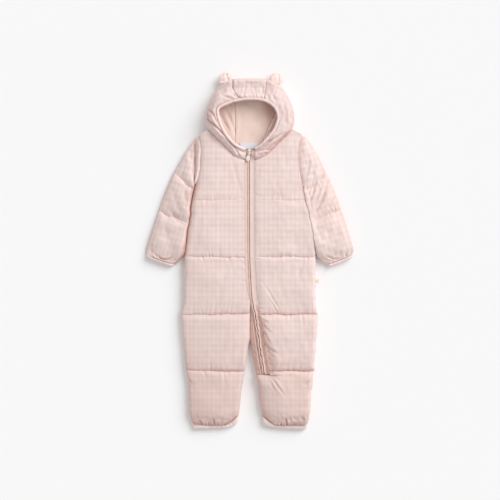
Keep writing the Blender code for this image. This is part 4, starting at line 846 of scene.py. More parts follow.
def innerLegStrip():
    # the strip between the centre and the zip: a low hill across, from the leg's inner edge to the tape's lip
    b = body
    rows = bodyStations(b["bend"] - 0.4, b["zipEnd"] + 0.3, (b["crotch"],))
    inner, outer = legIn(left, rows) + b["gap"], zipX(rows) - b["gap"] / 2
    lip = np.maximum(outer - b["legLip"], inner + 0.6)
    width = lip - inner
    edge = np.where(rows < b["crotch"], b["leastThick"], b["legEdge"])
    hill = b["lipThick"] + 0.46 * np.maximum(0, width - 2.0)
    floor = splitHeight(rows) + b["gap"]
    share = np.linspace(0, 1, 13)
    wall = edge[:, None] + (hill - edge)[:, None] * np.minimum(share / 0.82, 1)
    wall = np.where(share > 0.82, wall - (hill - b["lipThick"])[:, None] * ((share - 0.82) / 0.18) ** 2, wall)
    x = inner[:, None] + width[:, None] * share
    y = np.broadcast_to(rows[:, None], x.shape)
    wall = wall + 0.5 * lumps(x * 2.0, y, 16.0, 300) * np.sin(math.pi * share)
    for line in (crotchLine, kneeLine):
        wall = wall - 2.0 * np.exp(-np.abs(y - line) / 5.0) * np.sin(math.pi * share)
    top = joined(x, y, floor[:, None] + np.maximum(wall, b["leastThick"]))
    ends = [(outer, floor + b["lipThick"]), (outer, floor), (inner, floor)]
    rest = np.stack([joined(place, rows, height) for place, height in ends], axis=1)
    rings = sideBySide(top, rest)
    obj = loft("cloth_inner_leg_strip", rings, "checked_shell", grain=rings[:, :, :2])
    # the strip wears the check painted darker, as the shade it lies in
    dress(obj, shadedStripMaterial)
    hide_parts("inner_leg_strip")


def backPanel(side):
    # a back half, flat below with its lower edges rolled, and drawn in a little at each quilting line's side
    b = body
    name = "back_" + sideWord[side]
    rows = bodyStations(b["backTop"], b["hemEnd"], (b["crotch"],))[::2]
    onNape = rows > b["nape"][-1][0] - 0.5
    inner = np.where(onNape, np.maximum(seamOut(b["nape"], rows + 0.4), 0.15),
                     np.where(rows < b["crotch"], legIn(side, rows), 0.15))
    outer = sideOut(side, rows) - b["gap"]
    high = splitHeight(rows)
    squeeze = np.minimum(1, (outer - inner) / 30)
    roll = 8.0 * squeeze
    innerRoll = np.where(rows < b["crotch"], 8.0, 1.0) * squeeze
    turn = np.linspace(0, math.pi / 2, 7)
    drawn = sum(0.5 * bell(rows - line, 5) for line in (waistLine, crotchLine, kneeLine))[:, None]
    farOut = outer[:, None] - roll[:, None] * (1 - np.cos(turn)) - drawn * 1.2 * np.sin(turn)
    farHigh = high[:, None] * (1 - np.sin(turn))
    nearOut = inner[:, None] + innerRoll[:, None] * (1 - np.cos(turn[::-1]))
    nearHigh = high[:, None] * (1 - np.sin(turn[::-1]))
    share = np.linspace(0.15, 0.85, 6)
    acrossTop = inner[:, None] + (outer - inner)[:, None] * share
    acrossLow = outer[:, None] + (inner - outer)[:, None] * share
    out = sideBySide(acrossTop, farOut, acrossLow, nearOut)
    level = np.broadcast_to(high[:, None], acrossTop.shape)
    z = sideBySide(level, farHigh, 0 * acrossLow, nearHigh)
    part = (out - inner[:, None]) / (outer - inner)[:, None]
    y = rows[:, None] + hemLift(rows[:, None], part)
    rings = joined(side * out, y, z)
    obj = loft("cloth_" + name, rings, "checked_shell", grain=rings[:, :, :2])
    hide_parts(name)


for side in (right, left):
    frontPanel(side)
    backPanel(side)
innerLegStrip()
print("body panels done")


# sleeves, cuffs and hems

sleeves = {
    "rows": {    # distance out and y of the outer edge, the same of the inner one, crest
        right: (
            (115.5, 264.5, 125.1, 149.5, 23), (121.9, 261.5, 126.7, 149, 29), (128.8, 256, 128.6, 148, 27),
            (139.2, 241, 129.2, 146.6, 27), (151.7, 220.3, 129.8, 145, 29), (163.6, 199.6, 130.4, 143.4, 29),
            (174.6, 179.4, 131.4, 140.5, 29), (186.2, 153.6, 134, 126, 29), (198.2, 123.7, 139, 96.1, 29),
            (209.6, 91.5, 143.6, 61.6, 29), (218.9, 63.9, 147.2, 36.3, 29), (227.7, 36.3, 147.5, 13.3, 30),
            (236.2, 11, 151, -6.5, 27), (240.2, -3, 160, -20.5, 20), (240, -9.4, 172, -33, 15),
        ),
        left: (
            (119, 265, 121, 146, 23), (128.8, 263, 121.9, 144.5, 27), (135.7, 256, 122.4, 143, 28),
            (144.9, 239.9, 122.9, 141.5, 28), (156.4, 219.2, 123.4, 139.5, 28), (167, 198.5, 124, 137, 28),
            (178.3, 174.3, 125.2, 132.9, 28), (188.6, 151.3, 129, 116.8, 28),
            (200.1, 123.7, 135.6, 89.2, 28), (210, 96.6, 141.5, 62.8, 28), (219.4, 68.5, 145, 36.3, 28),
            (228.2, 40.9, 147.8, 11, 30), (236, 14.5, 152.5, -8, 27), (240.3, -0.5, 162, -21.5, 20),
            (240.2, -8.4, 176, -33, 15),
        ),
    },
    "lines": {    # row of a line across the arm, then its depth, and its reach up and down
        right: {2.0: (12.0, 6.0, 9.0), 6.0: (9.0, 11.0, 6.0), 9.0: (9.5, 12.0, 6.0)},
        left: {6.0: (7.0, 10.0, 6.0), 9.0: (9.5, 12.0, 6.0)},
    },
    "edgeKeys": (0.0, 1.6, 6.0, 14.0, 26.0), "edgeShares": (0.36, 0.58, 0.79, 0.94, 1.0),
    "cuff": 14.0, "slit": 3.0, "looseGap": {right: 0.16, left: 0.12}, "hold": {right: 0.26, left: 0.50},
    "lean": {right: 0.42, left: 0.0}, "pressing": {right: 0.85, left: 0.62},
    "seamDepth": {right: 0.6, left: 1.7}, "firstQuilting": 3.0, "wander": 1.2, "foldWander": 0.3,
    "lumpHeight": 0.8, "rippleHeight": 0.25,
}
sleeveShadeShares = {    # painted shade: how dark each place is painted, as a share of the shade colour
    "crease": 0.55, "gather": 0.6, "leftOuterEdge": 0.45, "rightArmholeFold": 0.5, "rightUnderarm": 0.9,
    "bodySide": {right: 0.95, left: 0.2}, "underside": 0.6,
}
sleeveCreases = {
    right: (
        (((-181, 90), (-172, 78), (-162, 62)), 3.5, 2.6), (((-176, 140), (-168, 110), (-158, 84)), 6, 1.6),
        (((-196, 60), (-190, 30)), 5, 1.6), (((-150, 140), (-146, 112)), 4, 1.6),
        (((-140, 240), (-136, 205)), 4, 1.6),
        (((-225.4, 25), (-226.6, -8)), 2, 1.6), (((-231, 26), (-227.7, 10)), 1.8, 1.8),
        (((-213, -10), (-205, -18), (-193, -20.5), (-177, -16)), 2.1, 3.4),
        (((-187, -25), (-168, -20)), 1.9, 2.6),
        (((-183, -30), (-168, -26)), 1.8, 2), (((-219, -6), (-214, -15)), 1.8, 2.2),
        (((-170, 86), (-160, 66), (-152, 60)), 2.4, 1.6),
    ),
    left: (
        (((154, 172), (146, 140), (137, 108)), 2.6, 3.4), (((128, 152), (138, 122), (141, 92)), 2.4, 2.4),
        (((176, 142), (160, 104), (144, 76)), 2.8, 3.6), (((184, 168), (172, 140), (162, 108)), 2.8, 2.6),
        (((196, 126), (178, 98)), 2.8, 2), (((152, 196), (140, 170)), 4, 1.8),
        (((200, 60), (206, 28)), 5, 1.6), (((158, 48), (166, 20)), 4, 1.8),
        (((176, -13), (192, -19), (205, -19)), 2.1, 3.2), (((162, -13), (177, -22), (191, -24)), 1.9, 2.8),
        (((206, 3), (208, -12)), 3, 1.4), (((217, -2), (221, -13)), 2.2, 1.6),
        (((149, 180), (143, 152), (131, 120)), 2.4, 2), (((166, 150), (152, 122), (140, 100)), 2.4, 2.2),
        (((186, 150), (170, 124), (158, 104)), 2.4, 1.8), (((174, 186), (160, 158)), 2.6, 1.4),
        (((137, 214), (134, 186), (128, 168)), 2.6, 1.6),
    ),
}


def sleevePaths(side, places, count=61):
    # the path across the arm at each station, from its outer edge to its inner one, first along the armhole,
    # and the height of the crest there
    outerOut, outerY, innerOut, innerY, crest = rowsAt(sleeves["rows"][side], places)
    close = sideOut(side, innerY) + sleeves["looseGap"][side] + 0.8 * (side == right) * bell(innerY - 142, 22)
    innerOut = np.maximum(innerOut, close)
    innerOut = innerOut + (close - innerOut) * step(innerY, -6, 12)
    share = np.linspace(0, 1, count)
    x = outerOut[:, None] + (innerOut - outerOut)[:, None] * share
    y = outerY[:, None] + (innerY - outerY)[:, None] * share
    follow = clamped(1 - places / 3)[:, None]
    armhole = sideOut(side, y) + 0.05
    x = x * (1 - follow) + (armhole + places[:, None] * 5) * follow
    # near the cuff both ends of the path are drawn up and in
    lift = np.where(share < 0.5, 5.0, 1.0) * np.abs(2 * share - 1) ** 4
    lift = lift * (clamped((places - 11) / 3) ** 2)[:, None]
    x = np.maximum(x, armhole) - 0.45 * lift * np.sign(0.5 - share)
    return joined(side * x, y + lift), crest


def alongPaths(paths, distances):
    # points at these distances along each path, straight between its points
    steps = np.linalg.norm(np.diff(paths, axis=1), axis=-1)
    lengths = sideBySide(np.zeros((len(paths), 1)), np.cumsum(steps, axis=1))
    made = [joined(np.interp(d, l, p[:, 0]), np.interp(d, l, p[:, 1]))
            for d, l, p in zip(distances, lengths, paths)]
    return np.array(made)


def pathWidths(paths):
    # the length of each path
    return np.linalg.norm(np.diff(paths, axis=1), axis=-1).sum(axis=1)


topShares = np.concatenate([[0, 0.008, 0.02, 0.035, 0.055, 0.08, 0.11], np.linspace(0.14, 0.86, 44),
                            [0.89, 0.92, 0.945, 0.965, 0.98, 0.992, 1.0]])
underShares = np.array([0.985, 0.95, 0.88, 0.7, 0.5, 0.3, 0.12, 0.05, 0.015])


def flatTube(paths, crest, keys, shares, wallLow, slit, farSlow=1.0, lean=0.0, hold=0.0):
    # rings of a tube that lies flat across each path: the outer one crowned above, and the slit inside it;
    # its far side falls farSlow times as slowly and starts higher by hold
    width = pathWidths(paths)[:, None]
    top = np.broadcast_to(topShares, (len(paths), len(topShares))) * width
    under = np.broadcast_to(underShares, (len(paths), len(underShares))) * width
    squeeze = np.minimum(1, width / 50)
    near = np.minimum(top, width - top) / squeeze
    slow = np.minimum(top, (width - top) / farSlow) / squeeze
    high = smooth(keys, shares, slow) * crest[:, None] * (1 - lean * (1 - top / width))
    high = high + crest[:, None] * hold * np.exp(-(width - top) / 5.0)
    nearUnder = np.minimum(under, width - under) / squeeze
    low = 0.36 * crest[:, None] * clamped(1 - nearUnder / 7) ** 2.2
    distances = sideBySide(top, under)
    places = alongPaths(paths, distances)
    outer = raised(places, sideBySide(high, low))
    inset = np.minimum(9.0, 0.15 * width)
    inside = alongPaths(paths, inset + (width - 2 * inset) * distances / width)
    bulge = np.sin(math.pi * clamped(distances / width)) * 0.5 + 0.5
    isTop = np.arange(distances.shape[1]) < len(topShares)
    heights = wallLow[:, None] + slit * np.where(isTop, bulge, 0.0)
    return outer, raised(inside, heights), near


def sleeveTube(side):
    # the arm before its relief: stations down it, closer at each line, and a flat tube on the paths across it
    s = sleeves
    marks = [0.0] + list(s["lines"][side]) + [s["cuff"]]
    runs = [eased(a, b, 0.075, 0.5)[:-1] for a, b in zip(marks[:-1], marks[1:])]
    places = np.concatenate(runs + [[s["cuff"]]])
    paths, crest = sleevePaths(side, places)
    fromCuff = clamped((s["cuff"] - places) / 1.5)
    begun = clamped((places - 2) / 2) if side == right else 1
    hold = s["hold"][side] * begun * clamped((12.5 - places) / 1.5)
    farSlow = 1 - 0.45 * (clamped((places - 3) / 2) * fromCuff)
    lean = s["lean"][side] * (clamped(places / 3) * fromCuff)
    wallLow = 5.5 + 2.5 * fromCuff
    outer, inner, near = flatTube(paths, crest, s["edgeKeys"], s["edgeShares"], wallLow, s["slit"],
                                  farSlow[:, None], lean[:, None], hold[:, None])
    width = pathWidths(paths)[:, None]
    return SimpleNamespace(
        key=400 if side == right else 500, places=places, paths=paths, outer=outer, inner=inner, near=near,
        run=runLengths(paths[:, 30]), width=width, acrossArm=topShares * width)


def sleeveRelief(side, g):
    # lines, puckers, lumps, creases, gathers and the armhole's seam pressed into the top, less at its edges
    s = sleeves
    count = len(topShares)
    x, y, high = (g.outer[:, :count, i] for i in range(3))
    down = g.run[:, None]
    change = np.zeros(x.shape)
    g.lineRuns = [float(np.interp(line, g.places, g.run)) for line in s["lines"][side]]
    for number, (line, (depth, up, below)) in enumerate(s["lines"][side].items()):
        quilted = line > s["firstQuilting"]
        wave = lumps(g.acrossArm, 0 * g.acrossArm, 40.0, g.key + 40 + number, 6)
        # above the line is nearer the shoulder
        d = g.lineRuns[number] - down + (s["wander"] if quilted else s["foldWander"]) * wave
        change -= depth * np.exp(-np.abs(d) / np.where(d > 0, up, below))
        if quilted:
            end = float(np.interp(line, g.places, g.width[:, 0])) - 4
            change += puckers(g.acrossArm, d, 4, end, g.key + number, 8.0, 0.9)
    calm = step(np.min([np.abs(g.run - at) for at in g.lineRuns], axis=0), 0, 12)[:, None]
    ripples = s["rippleHeight"] * lumps(x, y, 19.0, g.key + 6)
    change += s["lumpHeight"] * lumps(x, y, 48.0, g.key + 5) * calm + ripples
    fromEnd = g.run[-1] - down
    g.pressed = creases(x, y, sleeveCreases[side]) * s["pressing"][side]
    pressed = g.pressed * clamped(fromEnd / 4) * (1 + 0.5 * bell(fromEnd, 16))
    change = change * clamped(fromEnd / 16) + pressed
    g.gathers = puckers(g.acrossArm, fromEnd + 0.01, 6, float(g.width[-1, 0]) - 4, g.key + 9, 9.5, 1.5, 12.0)
    g.gathers = g.gathers * step(fromEnd, 0, 4)
    change += g.gathers
    change -= s["seamDepth"][side] * bell(down, 1.8)
    change = change * clamped(g.near[:, :count] / 16) ** 0.7
    g.outer[:, :count, 2] = np.maximum(high + change, np.minimum(high, 8.0))


def sleevePaintedShade(side, g):
    # painted shade at each point of the top: the shares of the sleeve's shade table, added up
    f = sleeveShadeShares
    down, y = g.run[:, None], g.outer[:, :len(topShares), 1]
    toBody = (1 - topShares) * g.width
    paintedShade = f["crease"] * shadeShareInFold(g.pressed, 2.4) + f["gather"] * shadeShareInFold(g.gathers, 2.2)
    paintedShade += f["leftOuterEdge"] * (side == left) * (1 - step(g.acrossArm, 4, 18))
    paintedShade += f["rightArmholeFold"] * (side == right) * bell(down - g.lineRuns[0], 3.0)
    paintedShade += f["bodySide"][side] * (1 - step(toBody, 0, 5.5)) * step(down, 15, 60)
    underarm = np.maximum(1 - step(y, 2, 24), bell(y - 146, 24))
    paintedShade += f["rightUnderarm"] * (side == right) * (1 - step(toBody, 2, 9)) * underarm
    return paintedShade


def sleeve(side):
    # one arm: its outer skin from the armhole to the cuff, and back up inside through eight inner rings
    name = "sleeve_" + sideWord[side]
    g = sleeveTube(side)
    sleeveRelief(side, g)
    count = len(topShares)
    picked = np.linspace(len(g.places) - 1, 0, 8).astype(int)
    rings = np.concatenate([g.outer, g.inner[picked]], axis=0)
    # painted shade on the top, more on the underside, and full on the inner rings
    underside = 0 * g.outer[:, count:, 0] + sleeveShadeShares["underside"]
    paintedShade = sideBySide(sleevePaintedShade(side, g), underside)
    paintedShade = np.concatenate([paintedShade, np.ones((len(picked), paintedShade.shape[1]))], axis=0)
    arm = g.paths[60, 30] - g.paths[-20, 30]
    grain = turnedBy(rings, math.atan2(-arm[0], arm[1]))
    obj = loft("cloth_" + name, rings, "checked_shell", loop=True, grain=grain, paintedShade=paintedShade)
    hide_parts(name)
    quilted = [line for line in sleeves["lines"][side] if line > sleeves["firstQuilting"]]
    rows = [int(np.argmin(np.abs(g.places - line))) for line in quilted]
    stitches("stitches_" + name, [g.outer[row, 5:count - 4] for row in rows])
    return g.paths[-1]


binding = {
    "long": 6.5, "steps": (0.0, 0.06, 0.18, 0.35, 0.55, 0.75, 0.9, 0.97, 1.0),
    "heights": (10.6, 12.4, 13.4, 13.7, 13.6, 13.3, 12.4, 11.4, 10.0),
    "keys": (0.0, 1.2, 3.5, 8.0, 20.0), "shares": (0.42, 0.66, 0.88, 0.97, 1.0), "wall": 4.9, "gap": 0.12,
    "rippleLength": 7.5, "rippleHeight": 0.55,
}


def bindingRing(name, path, gap, key, free=None):
    # elastic binding on an open end: a short rippled tube from the end's path to a free edge, either given or
    # square to the path and drawn in at both ends
    g = binding
    path = np.asarray(path, float)
    tangent = unit(np.gradient(path, axis=0))
    outward = joined(tangent[:, 1], -tangent[:, 0])
    if outward[len(path) // 2][1] > 0:
        outward = -outward
    steps = np.array(g["steps"])
    if free is None:
        part = np.linspace(-1, 1, len(path))[:, None]
        drawnIn = tangent * 3.2 * np.sign(part) * np.abs(part) ** 3
        free = path + outward * g["long"] * (1 - 0.45 * part ** 8) - drawnIn
    start = path + outward * gap
    paths = start + (free - start) * steps[:, None, None]
    walls = np.full(len(steps), g["wall"])
    outer, inner = flatTube(paths, np.array(g["heights"]), g["keys"], g["shares"], walls, sleeves["slit"])[:2]
    across = np.concatenate([topShares, underShares]) * float(pathWidths(paths)[0])
    ripple = g["rippleHeight"] * lumps(across, 0 * across, g["rippleLength"], key, 8)
    middle = np.sin(math.pi * steps)[:, None]
    outer[:, :, 2] += np.where(outer[:, :, 2] > 6, ripple * (0.35 + 0.65 * middle), 0)
    # its free edge wavers
    outer[:, :, 1] += 0.35 * steps[:, None] * lumps(across, 0 * across, 16.0, key + 3, 8)
    rings = np.concatenate([outer, inner[::-1][[0, 4, 8]]], axis=0)
    obj = loft("cloth_" + name, rings, "plain_binding", loop=True)
    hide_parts(name)


def hemPath(side):
    # the path across the end of the leg, from its outer edge to its inner one
    b = body
    inner, outer = float(legIn(side, b["hemEnd"])), float(sideOut(side, b["hemEnd"])) - b["gap"]
    share = np.linspace(1, 0, 61)
    out = inner + (outer - inner) * share
    return joined(side * out, b["hemEnd"] + hemLift(b["hemEnd"], share))


hemFree = {    # share of the way out, shift outwards, y of the binding's free edge
    right: ((0, -0.5, -386), (0.04, -2, -394.5), (0.10, -1.5, -402.5), (0.16, -0.8, -405.5),
            (0.25, 0, -407.3), (0.40, 0, -408.6), (0.70, 0, -409.6), (0.93, -0.4, -410.4),
            (1, -1.2, -408.6)),
    left: ((0, -0.5, -386), (0.04, -2, -396), (0.10, -1.5, -403.6), (0.16, -0.8, -405.6),
           (0.25, 0, -407), (0.40, 0, -408.6), (0.70, 0, -410.6), (0.93, -0.4, -412),
           (1, -1.2, -408.6)),
}


def hemFreeEdge(side):
    # the binding's free edge: the hem's path moved out by its table's shift, at its table's y
    path, share = hemPath(side), np.linspace(1, 0, 61)
    shift, y = (tableAt(hemFree[side], i, share) for i in (1, 2))
    return joined(path[:, 0] + side * shift, y)


for side, key in ((right, 600), (left, 610)):
    bindingRing("cuff_binding_" + sideWord[side], sleeve(side), binding["gap"], key)
    bindingRing("hem_binding_" + sideWord[side], hemPath(side), binding["gap"], key + 1, hemFreeEdge(side))
print("sleeves and bindings done")


# hood

hood = {
    "sides": {    # distance out and y at the rim, the same at the outline, the rim's height
        right: (
            (22, 348.7, 37.4, 394.5, 44), (36.8, 346.2, 53, 389, 43.5), (51.8, 340.9, 67.5, 380.5, 43),
            (65.6, 334.9, 80.5, 366.5, 42.5), (75.4, 328, 89, 350.3, 42), (77.5, 319.2, 96.1, 333, 41.5),
            (75.9, 307.7, 101.9, 317, 41), (71.3, 292.8, 103.5, 303, 40.5), (64.4, 276.7, 101.2, 291, 40),
            (55.2, 261.7, 97, 279.5, 39.5), (44.9, 249.6, 81.4, 263.4, 38), (34.5, 240.1, 64.5, 247.7, 36),
            (24.2, 234.1, 50.1, 232.5, 33), (15.9, 230.9, 36.5, 219.9, 30), (11, 229.9, 21.8, 212.3, 28),
            (9.2, 229.6, 10.2, 209.6, 27),
        ),
        left: (
            (33.6, 347.1, 38.6, 394.5, 44), (44.9, 342.2, 56, 389, 43.5), (54.1, 335.8, 70.5, 379, 43),
            (61.6, 327.5, 82.5, 363, 42.5), (66.2, 318.1, 91.7, 347, 42), (68.1, 307.7, 97.8, 331.9, 41.5),
            (67.4, 297.4, 101.9, 317, 41), (63.9, 285.9, 102.6, 303, 40.5), (58, 274.6, 101, 290.5, 40),
            (50.1, 264, 97.6, 279.5, 39.5), (41.4, 253.7, 81.4, 263.4, 38), (32.9, 244.9, 64.5, 247.7, 36),
            (25.3, 238.3, 50.1, 232.5, 33), (18.5, 233.8, 36.5, 219.9, 30), (14, 231.5, 21.8, 212.3, 28),
            (11.8, 230.5, 12.2, 209.6, 27),
        ),
    },
    "centre": (    # x and y at the rim, and the same at the outline
        (-21.5, 348.8, -36.9, 394.8), (-8, 350.6, -18, 396.2), (6, 350.8, 1, 396.4), (20, 349.8, 20, 396.2),
        (33.1, 347.3, 38.1, 394.8),
    ),
    "rim": 44.0, "widest": 15.0, "wall": 7.5, "bandFloor": 14.6, "wallHigh": 28.0, "wallLong": 45.0,
    "lumpHeight": 0.8, "rippleHeight": 0.28, "seamDip": {right: 2.2, left: 0.9}, "seamWidth": 1.7,
    "over": (42.0, 80.0),            # reach of the top's own profile, along x
    # past the outline, distance and height: where the wall turns under, and where it ends at the neck seam
    "footUnder": ((-0.3, 11.5), (-0.6, 8.0), (-2.0, 4.0), (-4.0, 1.4), (-9.0, 0.0), (-20.0, 0.0),
                  (-20, 5.8), (-10.5, 6), (-8, 12)),
    "footBand": ((0.0, 23.0), (0.0, 21.0), (0.0, 18.0), (0.0, 15.6), (-0.5, 14.6), (-1.2, 14.6),
                 (-1.9, 14.6), (-2.6, 14.6), (-3.3, 14.6)),
    "topKeys": (0.0, 0.08, 0.2, 0.34, 0.5, 0.65, 0.8, 0.9, 0.96, 1.0),
    "topHeights": (44.0, 44.4, 42.5, 40.2, 39.6, 41.0, 42.6, 40.4, 34.4, 15.0),
    "seamBend": (    # y, and how far the seam is moved there
        (346, -0.5), (352, -2.8), (355, -4.6), (360, -7.4), (366, -10.4), (371, -10.2), (380, -7),
        (390, -3.5), (397, -2),
    ),
}
hoodCreases = {
    right: (
        (((-104, 306), (-96, 300), (-81, 287), (-67, 273), (-55, 262), (-46, 251), (-33, 238)), 2.3, 6),
        (((-38, 240), (-29, 225), (-23, 214)), 2, 2.2), (((-98, 327), (-86, 314)), 2.2, 2.8),
        (((-90, 322), (-78, 298), (-66, 277)), 2.4, 3), (((-100, 318), (-93, 305)), 2.2, 2.4),
        (((-40, 359), (-32, 353), (-24, 349)), 2.4, 2.4), (((-62, 354), (-50, 350), (-40, 348)), 2.4, 2),
        (((-56, 372), (-66, 352)), 4, 1.4), (((-98, 312), (-92, 296)), 3, 1.8),
    ),
    left: (
        (((97, 272), (80, 264), (60, 247), (38, 236)), 2.8, 3.2),
        (((77, 271), (56, 257), (35, 246)), 2.6, 3), (((52, 237), (38, 232), (20, 229)), 2.4, 2.2),
        (((40, 226), (28, 221), (16, 219)), 2.4, 2), (((78, 336), (84, 312), (82, 290)), 4, 1.8),
        (((92, 322), (95, 300)), 3.5, 1.2), (((38, 360), (44, 346)), 2.4, 1.6),
        (((52, 356), (58, 342)), 2.4, 1.3),
    ),
}
hoodParts = np.concatenate([[0.0, 0.02, 0.045], np.linspace(0.08, 0.86, 30),
                            [0.885, 0.91, 0.935, 0.955, 0.972, 0.987, 1.0]])


def hoodRings(starts, ends, rims, under):
    # sections of a hood wall from the face opening's edge: with under 1 they turn round to the surface and
    # rest on it, with 0 they are the padded band that ends at the neck seam, and between the two they blend
    h = hood
    p = hoodParts
    run = ends - starts
    length = np.linalg.norm(run, axis=1)[:, None]
    rims = rims[:, None]
    lit = step(ends[:, :1], 20, 70)
    crown = (1 - p ** (2.8 + 2.4 * lit)) ** (0.6 - 0.12 * lit)
    crown = (rims - h["widest"]) * crown + (4.5 - 3.5 * lit) * np.sin(math.pi * clamped(p / 0.75))
    topUnder = h["widest"] + crown
    over = step(-np.abs(ends[:, :1] - 1.0), -h["over"][1], -h["over"][0])
    topUnder = topUnder * (1 - over) + smooth(h["topKeys"], h["topHeights"], p) * over
    valley = -4.0 * bell(p - 0.17, 0.09)
    roll = 3.6 * np.sin(math.pi * clamped((p - 0.2) / 0.8))
    edge = h["widest"] + 10.0
    topBand = rims + (edge - rims) * p ** 2 + valley + roll - 1.6 * bell((1 - p) * length, 1.8)
    inside = p[2:-1:3]
    lowUnder = np.maximum(topUnder[:, 2:-1:3] - h["wall"], h["widest"] + 1)
    lowBand = h["bandFloor"] + (rims - h["wall"] - h["bandFloor"]) * (1 - inside) ** 1.3
    one = np.ones_like(length)
    profiles = []
    for top, foot, low, reach in ((topUnder, h["footUnder"], lowUnder, length - 8.0),
                                  (topBand, h["footBand"], lowBand, length)):
        foot = np.array(foot)
        along = sideBySide(p * length, length + foot[:, 0], inside[::-1] * reach, 0 * one)
        high = sideBySide(top, foot[:, 1] * one, low[:, ::-1], rims - h["wall"])
        profiles.append((along, high))
    under = under[:, None]
    along = profiles[0][0] * under + profiles[1][0] * (1 - under)
    high = profiles[0][1] * under + profiles[1][1] * (1 - under)
    return raised(starts[:, None, :] + run[:, None, :] * (along / length)[..., None], high)


def hoodWarp(rings):
    # the seam right of the centre panel runs straight down from the top and then turns in to the rim
    x, y = rings[..., 0], rings[..., 1]
    rimX, rimY, outX, outY = hood["centre"][0]
    seam = np.interp(y, (rimY, outY), (rimX, outX))
    shift = tableAt(hood["seamBend"], 1, y) * bell(x - seam, 16.0)
    rings[..., 0] = x + shift * step(rings[..., 2], 8, 18)
    return rings


def hoodFinish(name, rings, change, turn, key, shade=0.0):
    # the outer skin takes the change in full over its middle and less towards the outline and the rim; the
    # check runs on over the wall by the extra length of its profile
    h = hood
    count = len(hoodParts)
    skin = rings[:, :count]
    x, y = skin[..., 0], skin[..., 1]
    pressed = change
    ripples = h["rippleHeight"] * lumps(x, y, 17.0, key + 1)
    change = change + h["lumpHeight"] * lumps(x, y, 42.0, key) + ripples
    weight = step(hoodParts, 0.0, 0.07) * (1 - 0.75 * step(hoodParts, 0.80, 1.0))
    rings[:, :count, 2] += change * weight
    # painted shade in the pressed folds, plus the painted shade given for each place
    paintedShade = np.zeros(rings.shape[:2])
    paintedShade[:, :count] = 0.62 * shadeShareInFold(pressed, 3.4) * weight + shade
    profile = np.column_stack([hoodParts, h["wallHigh"] / h["wallLong"] * (1 - hoodParts ** 2.8) ** 0.6])
    reach = np.zeros(rings.shape[1])
    reach[:count] = (runLengths(profile) - hoodParts) * h["wallLong"]
    outwards = unit(rings[:, -1, :2] - rings[:, count - 1, :2])
    grain = turnedBy(rings, turn) - turnedBy(outwards, turn)[:, None, :] * reach[:, None]
    obj = loft("cloth_" + name, rings, "checked_shell", grain=grain, paintedShade=paintedShade)
    dress(obj, hoodMaterial)
    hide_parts(name)


def hoodSide(side):
    # from the centre panel's seam round to the zip, where a thin lip runs on under the tape
    h = hood
    places = np.concatenate([eased(0, 9.5, 0.085, 0.5)[:-1], eased(9.5, 15, 0.06, 0.4)])
    inOut, inY, outOut, outY, rims = rowsAt(h["sides"][side], places)
    starts, ends = joined(side * inOut, inY), joined(side * outOut, outY)
    under = 1 - step(places, 9.0, 10.0)
    rings = hoodWarp(hoodRings(starts, ends, rims, under))
    skin = rings[:, :len(hoodParts)]
    change = creases(skin[..., 0], skin[..., 1], hoodCreases[side])
    seamAway = np.linalg.norm(skin[..., :2] - skin[:1, :, :2], axis=-1)
    change = change - h["seamDip"][side] * bell(seamAway, h["seamWidth"])
    # the seam to the front is drawn in, with small puckers along it
    fromNeck = (1 - hoodParts) * np.linalg.norm(ends - starts, axis=1)[:, None]
    seamRun = np.broadcast_to(runLengths(ends)[:, None], fromNeck.shape)
    onBand = step(places, 9.6, 10.4)[:, None]
    end = float(seamRun[-1, 0])
    small = puckers(seamRun, fromNeck + 0.01, 95, end, 730 + side, 10.0, 1.3, 10.0)
    change = change + small * onBand
    # the thin lip: the last ring again twice, moved in and pressed down
    floor = body["backThick"] + body["gap"] + body["lipThick"]
    lips = []
    for out in (inOut[-1] - 0.4, body["gap"] / 2):
        lip = rings[-1].copy()
        lip[:, 0] -= side * (inOut[-1] - out)
        if out < 1:
            lip[:, 0] = float(zipX(body["zip"][0][0])) + side * out
        lip[:, 2] = np.minimum(lip[:, 2], floor - 0.04 * (lip[:, 2].max() - lip[:, 2]))
        lips.append(lip)
    rings = np.concatenate([rings, lips], axis=0)
    change = np.concatenate([change, np.zeros((2, change.shape[1]))], axis=0)
    fade = np.concatenate([1 - step(places, 14.0, 15.0), [0, 0]])[:, None]
    x, y = rings[:, :len(hoodParts), 0], rings[:, :len(hoodParts), 1]
    # painted shade: on the right side a little everywhere, more higher up and most at its outer upper part;
    # on the left side more towards the outline
    if side == right:
        shade = 0.06 + 0.14 * step(y, 262, 300) + 0.18 * step(-x, 58, 98) * step(y, 285, 318)
    else:
        shade = 0.2 + 0.35 * step(hoodParts, 0.62, 0.92)
    key = 700 if side == right else 710
    hoodFinish("hood_" + sideWord[side], rings, change * fade, math.radians(side * -20.0), key, shade)


def hoodCentre():
    # the panel over the top of the head, gathered above the forehead
    h = hood
    places = eased(0, 4, 0.042, 0.45)
    inX, inY, outX, outY = rowsAt(h["centre"], places)
    starts, ends, one = joined(inX, inY), joined(outX, outY), np.ones(len(places))
    rings = hoodWarp(hoodRings(starts, ends, one * h["rim"], one))
    skin = rings[:, :len(hoodParts)]
    x = skin[..., 0]
    fromRim = hoodParts * 46.0
    change = puckers(x, np.broadcast_to(fromRim + 0.01, x.shape), -24, 32, 720, 5.6, 1.6, 13.0)
    for edge, side in ((0, right), (-1, left)):
        away = np.linalg.norm(skin[..., :2] - skin[edge][None, :, :2], axis=-1)
        change = change - h["seamDip"][side] * bell(away, h["seamWidth"])
    change += creases(skin[..., 0], skin[..., 1], ((((-14, 386), (4, 382), (24, 385)), 4.0, 0.8),))
    # painted shade, a little everywhere and more near the outline
    hoodFinish("hood_centre", rings, change, 0.0, 725, 0.12 + 0.42 * step(hoodParts, 0.84, 0.95))


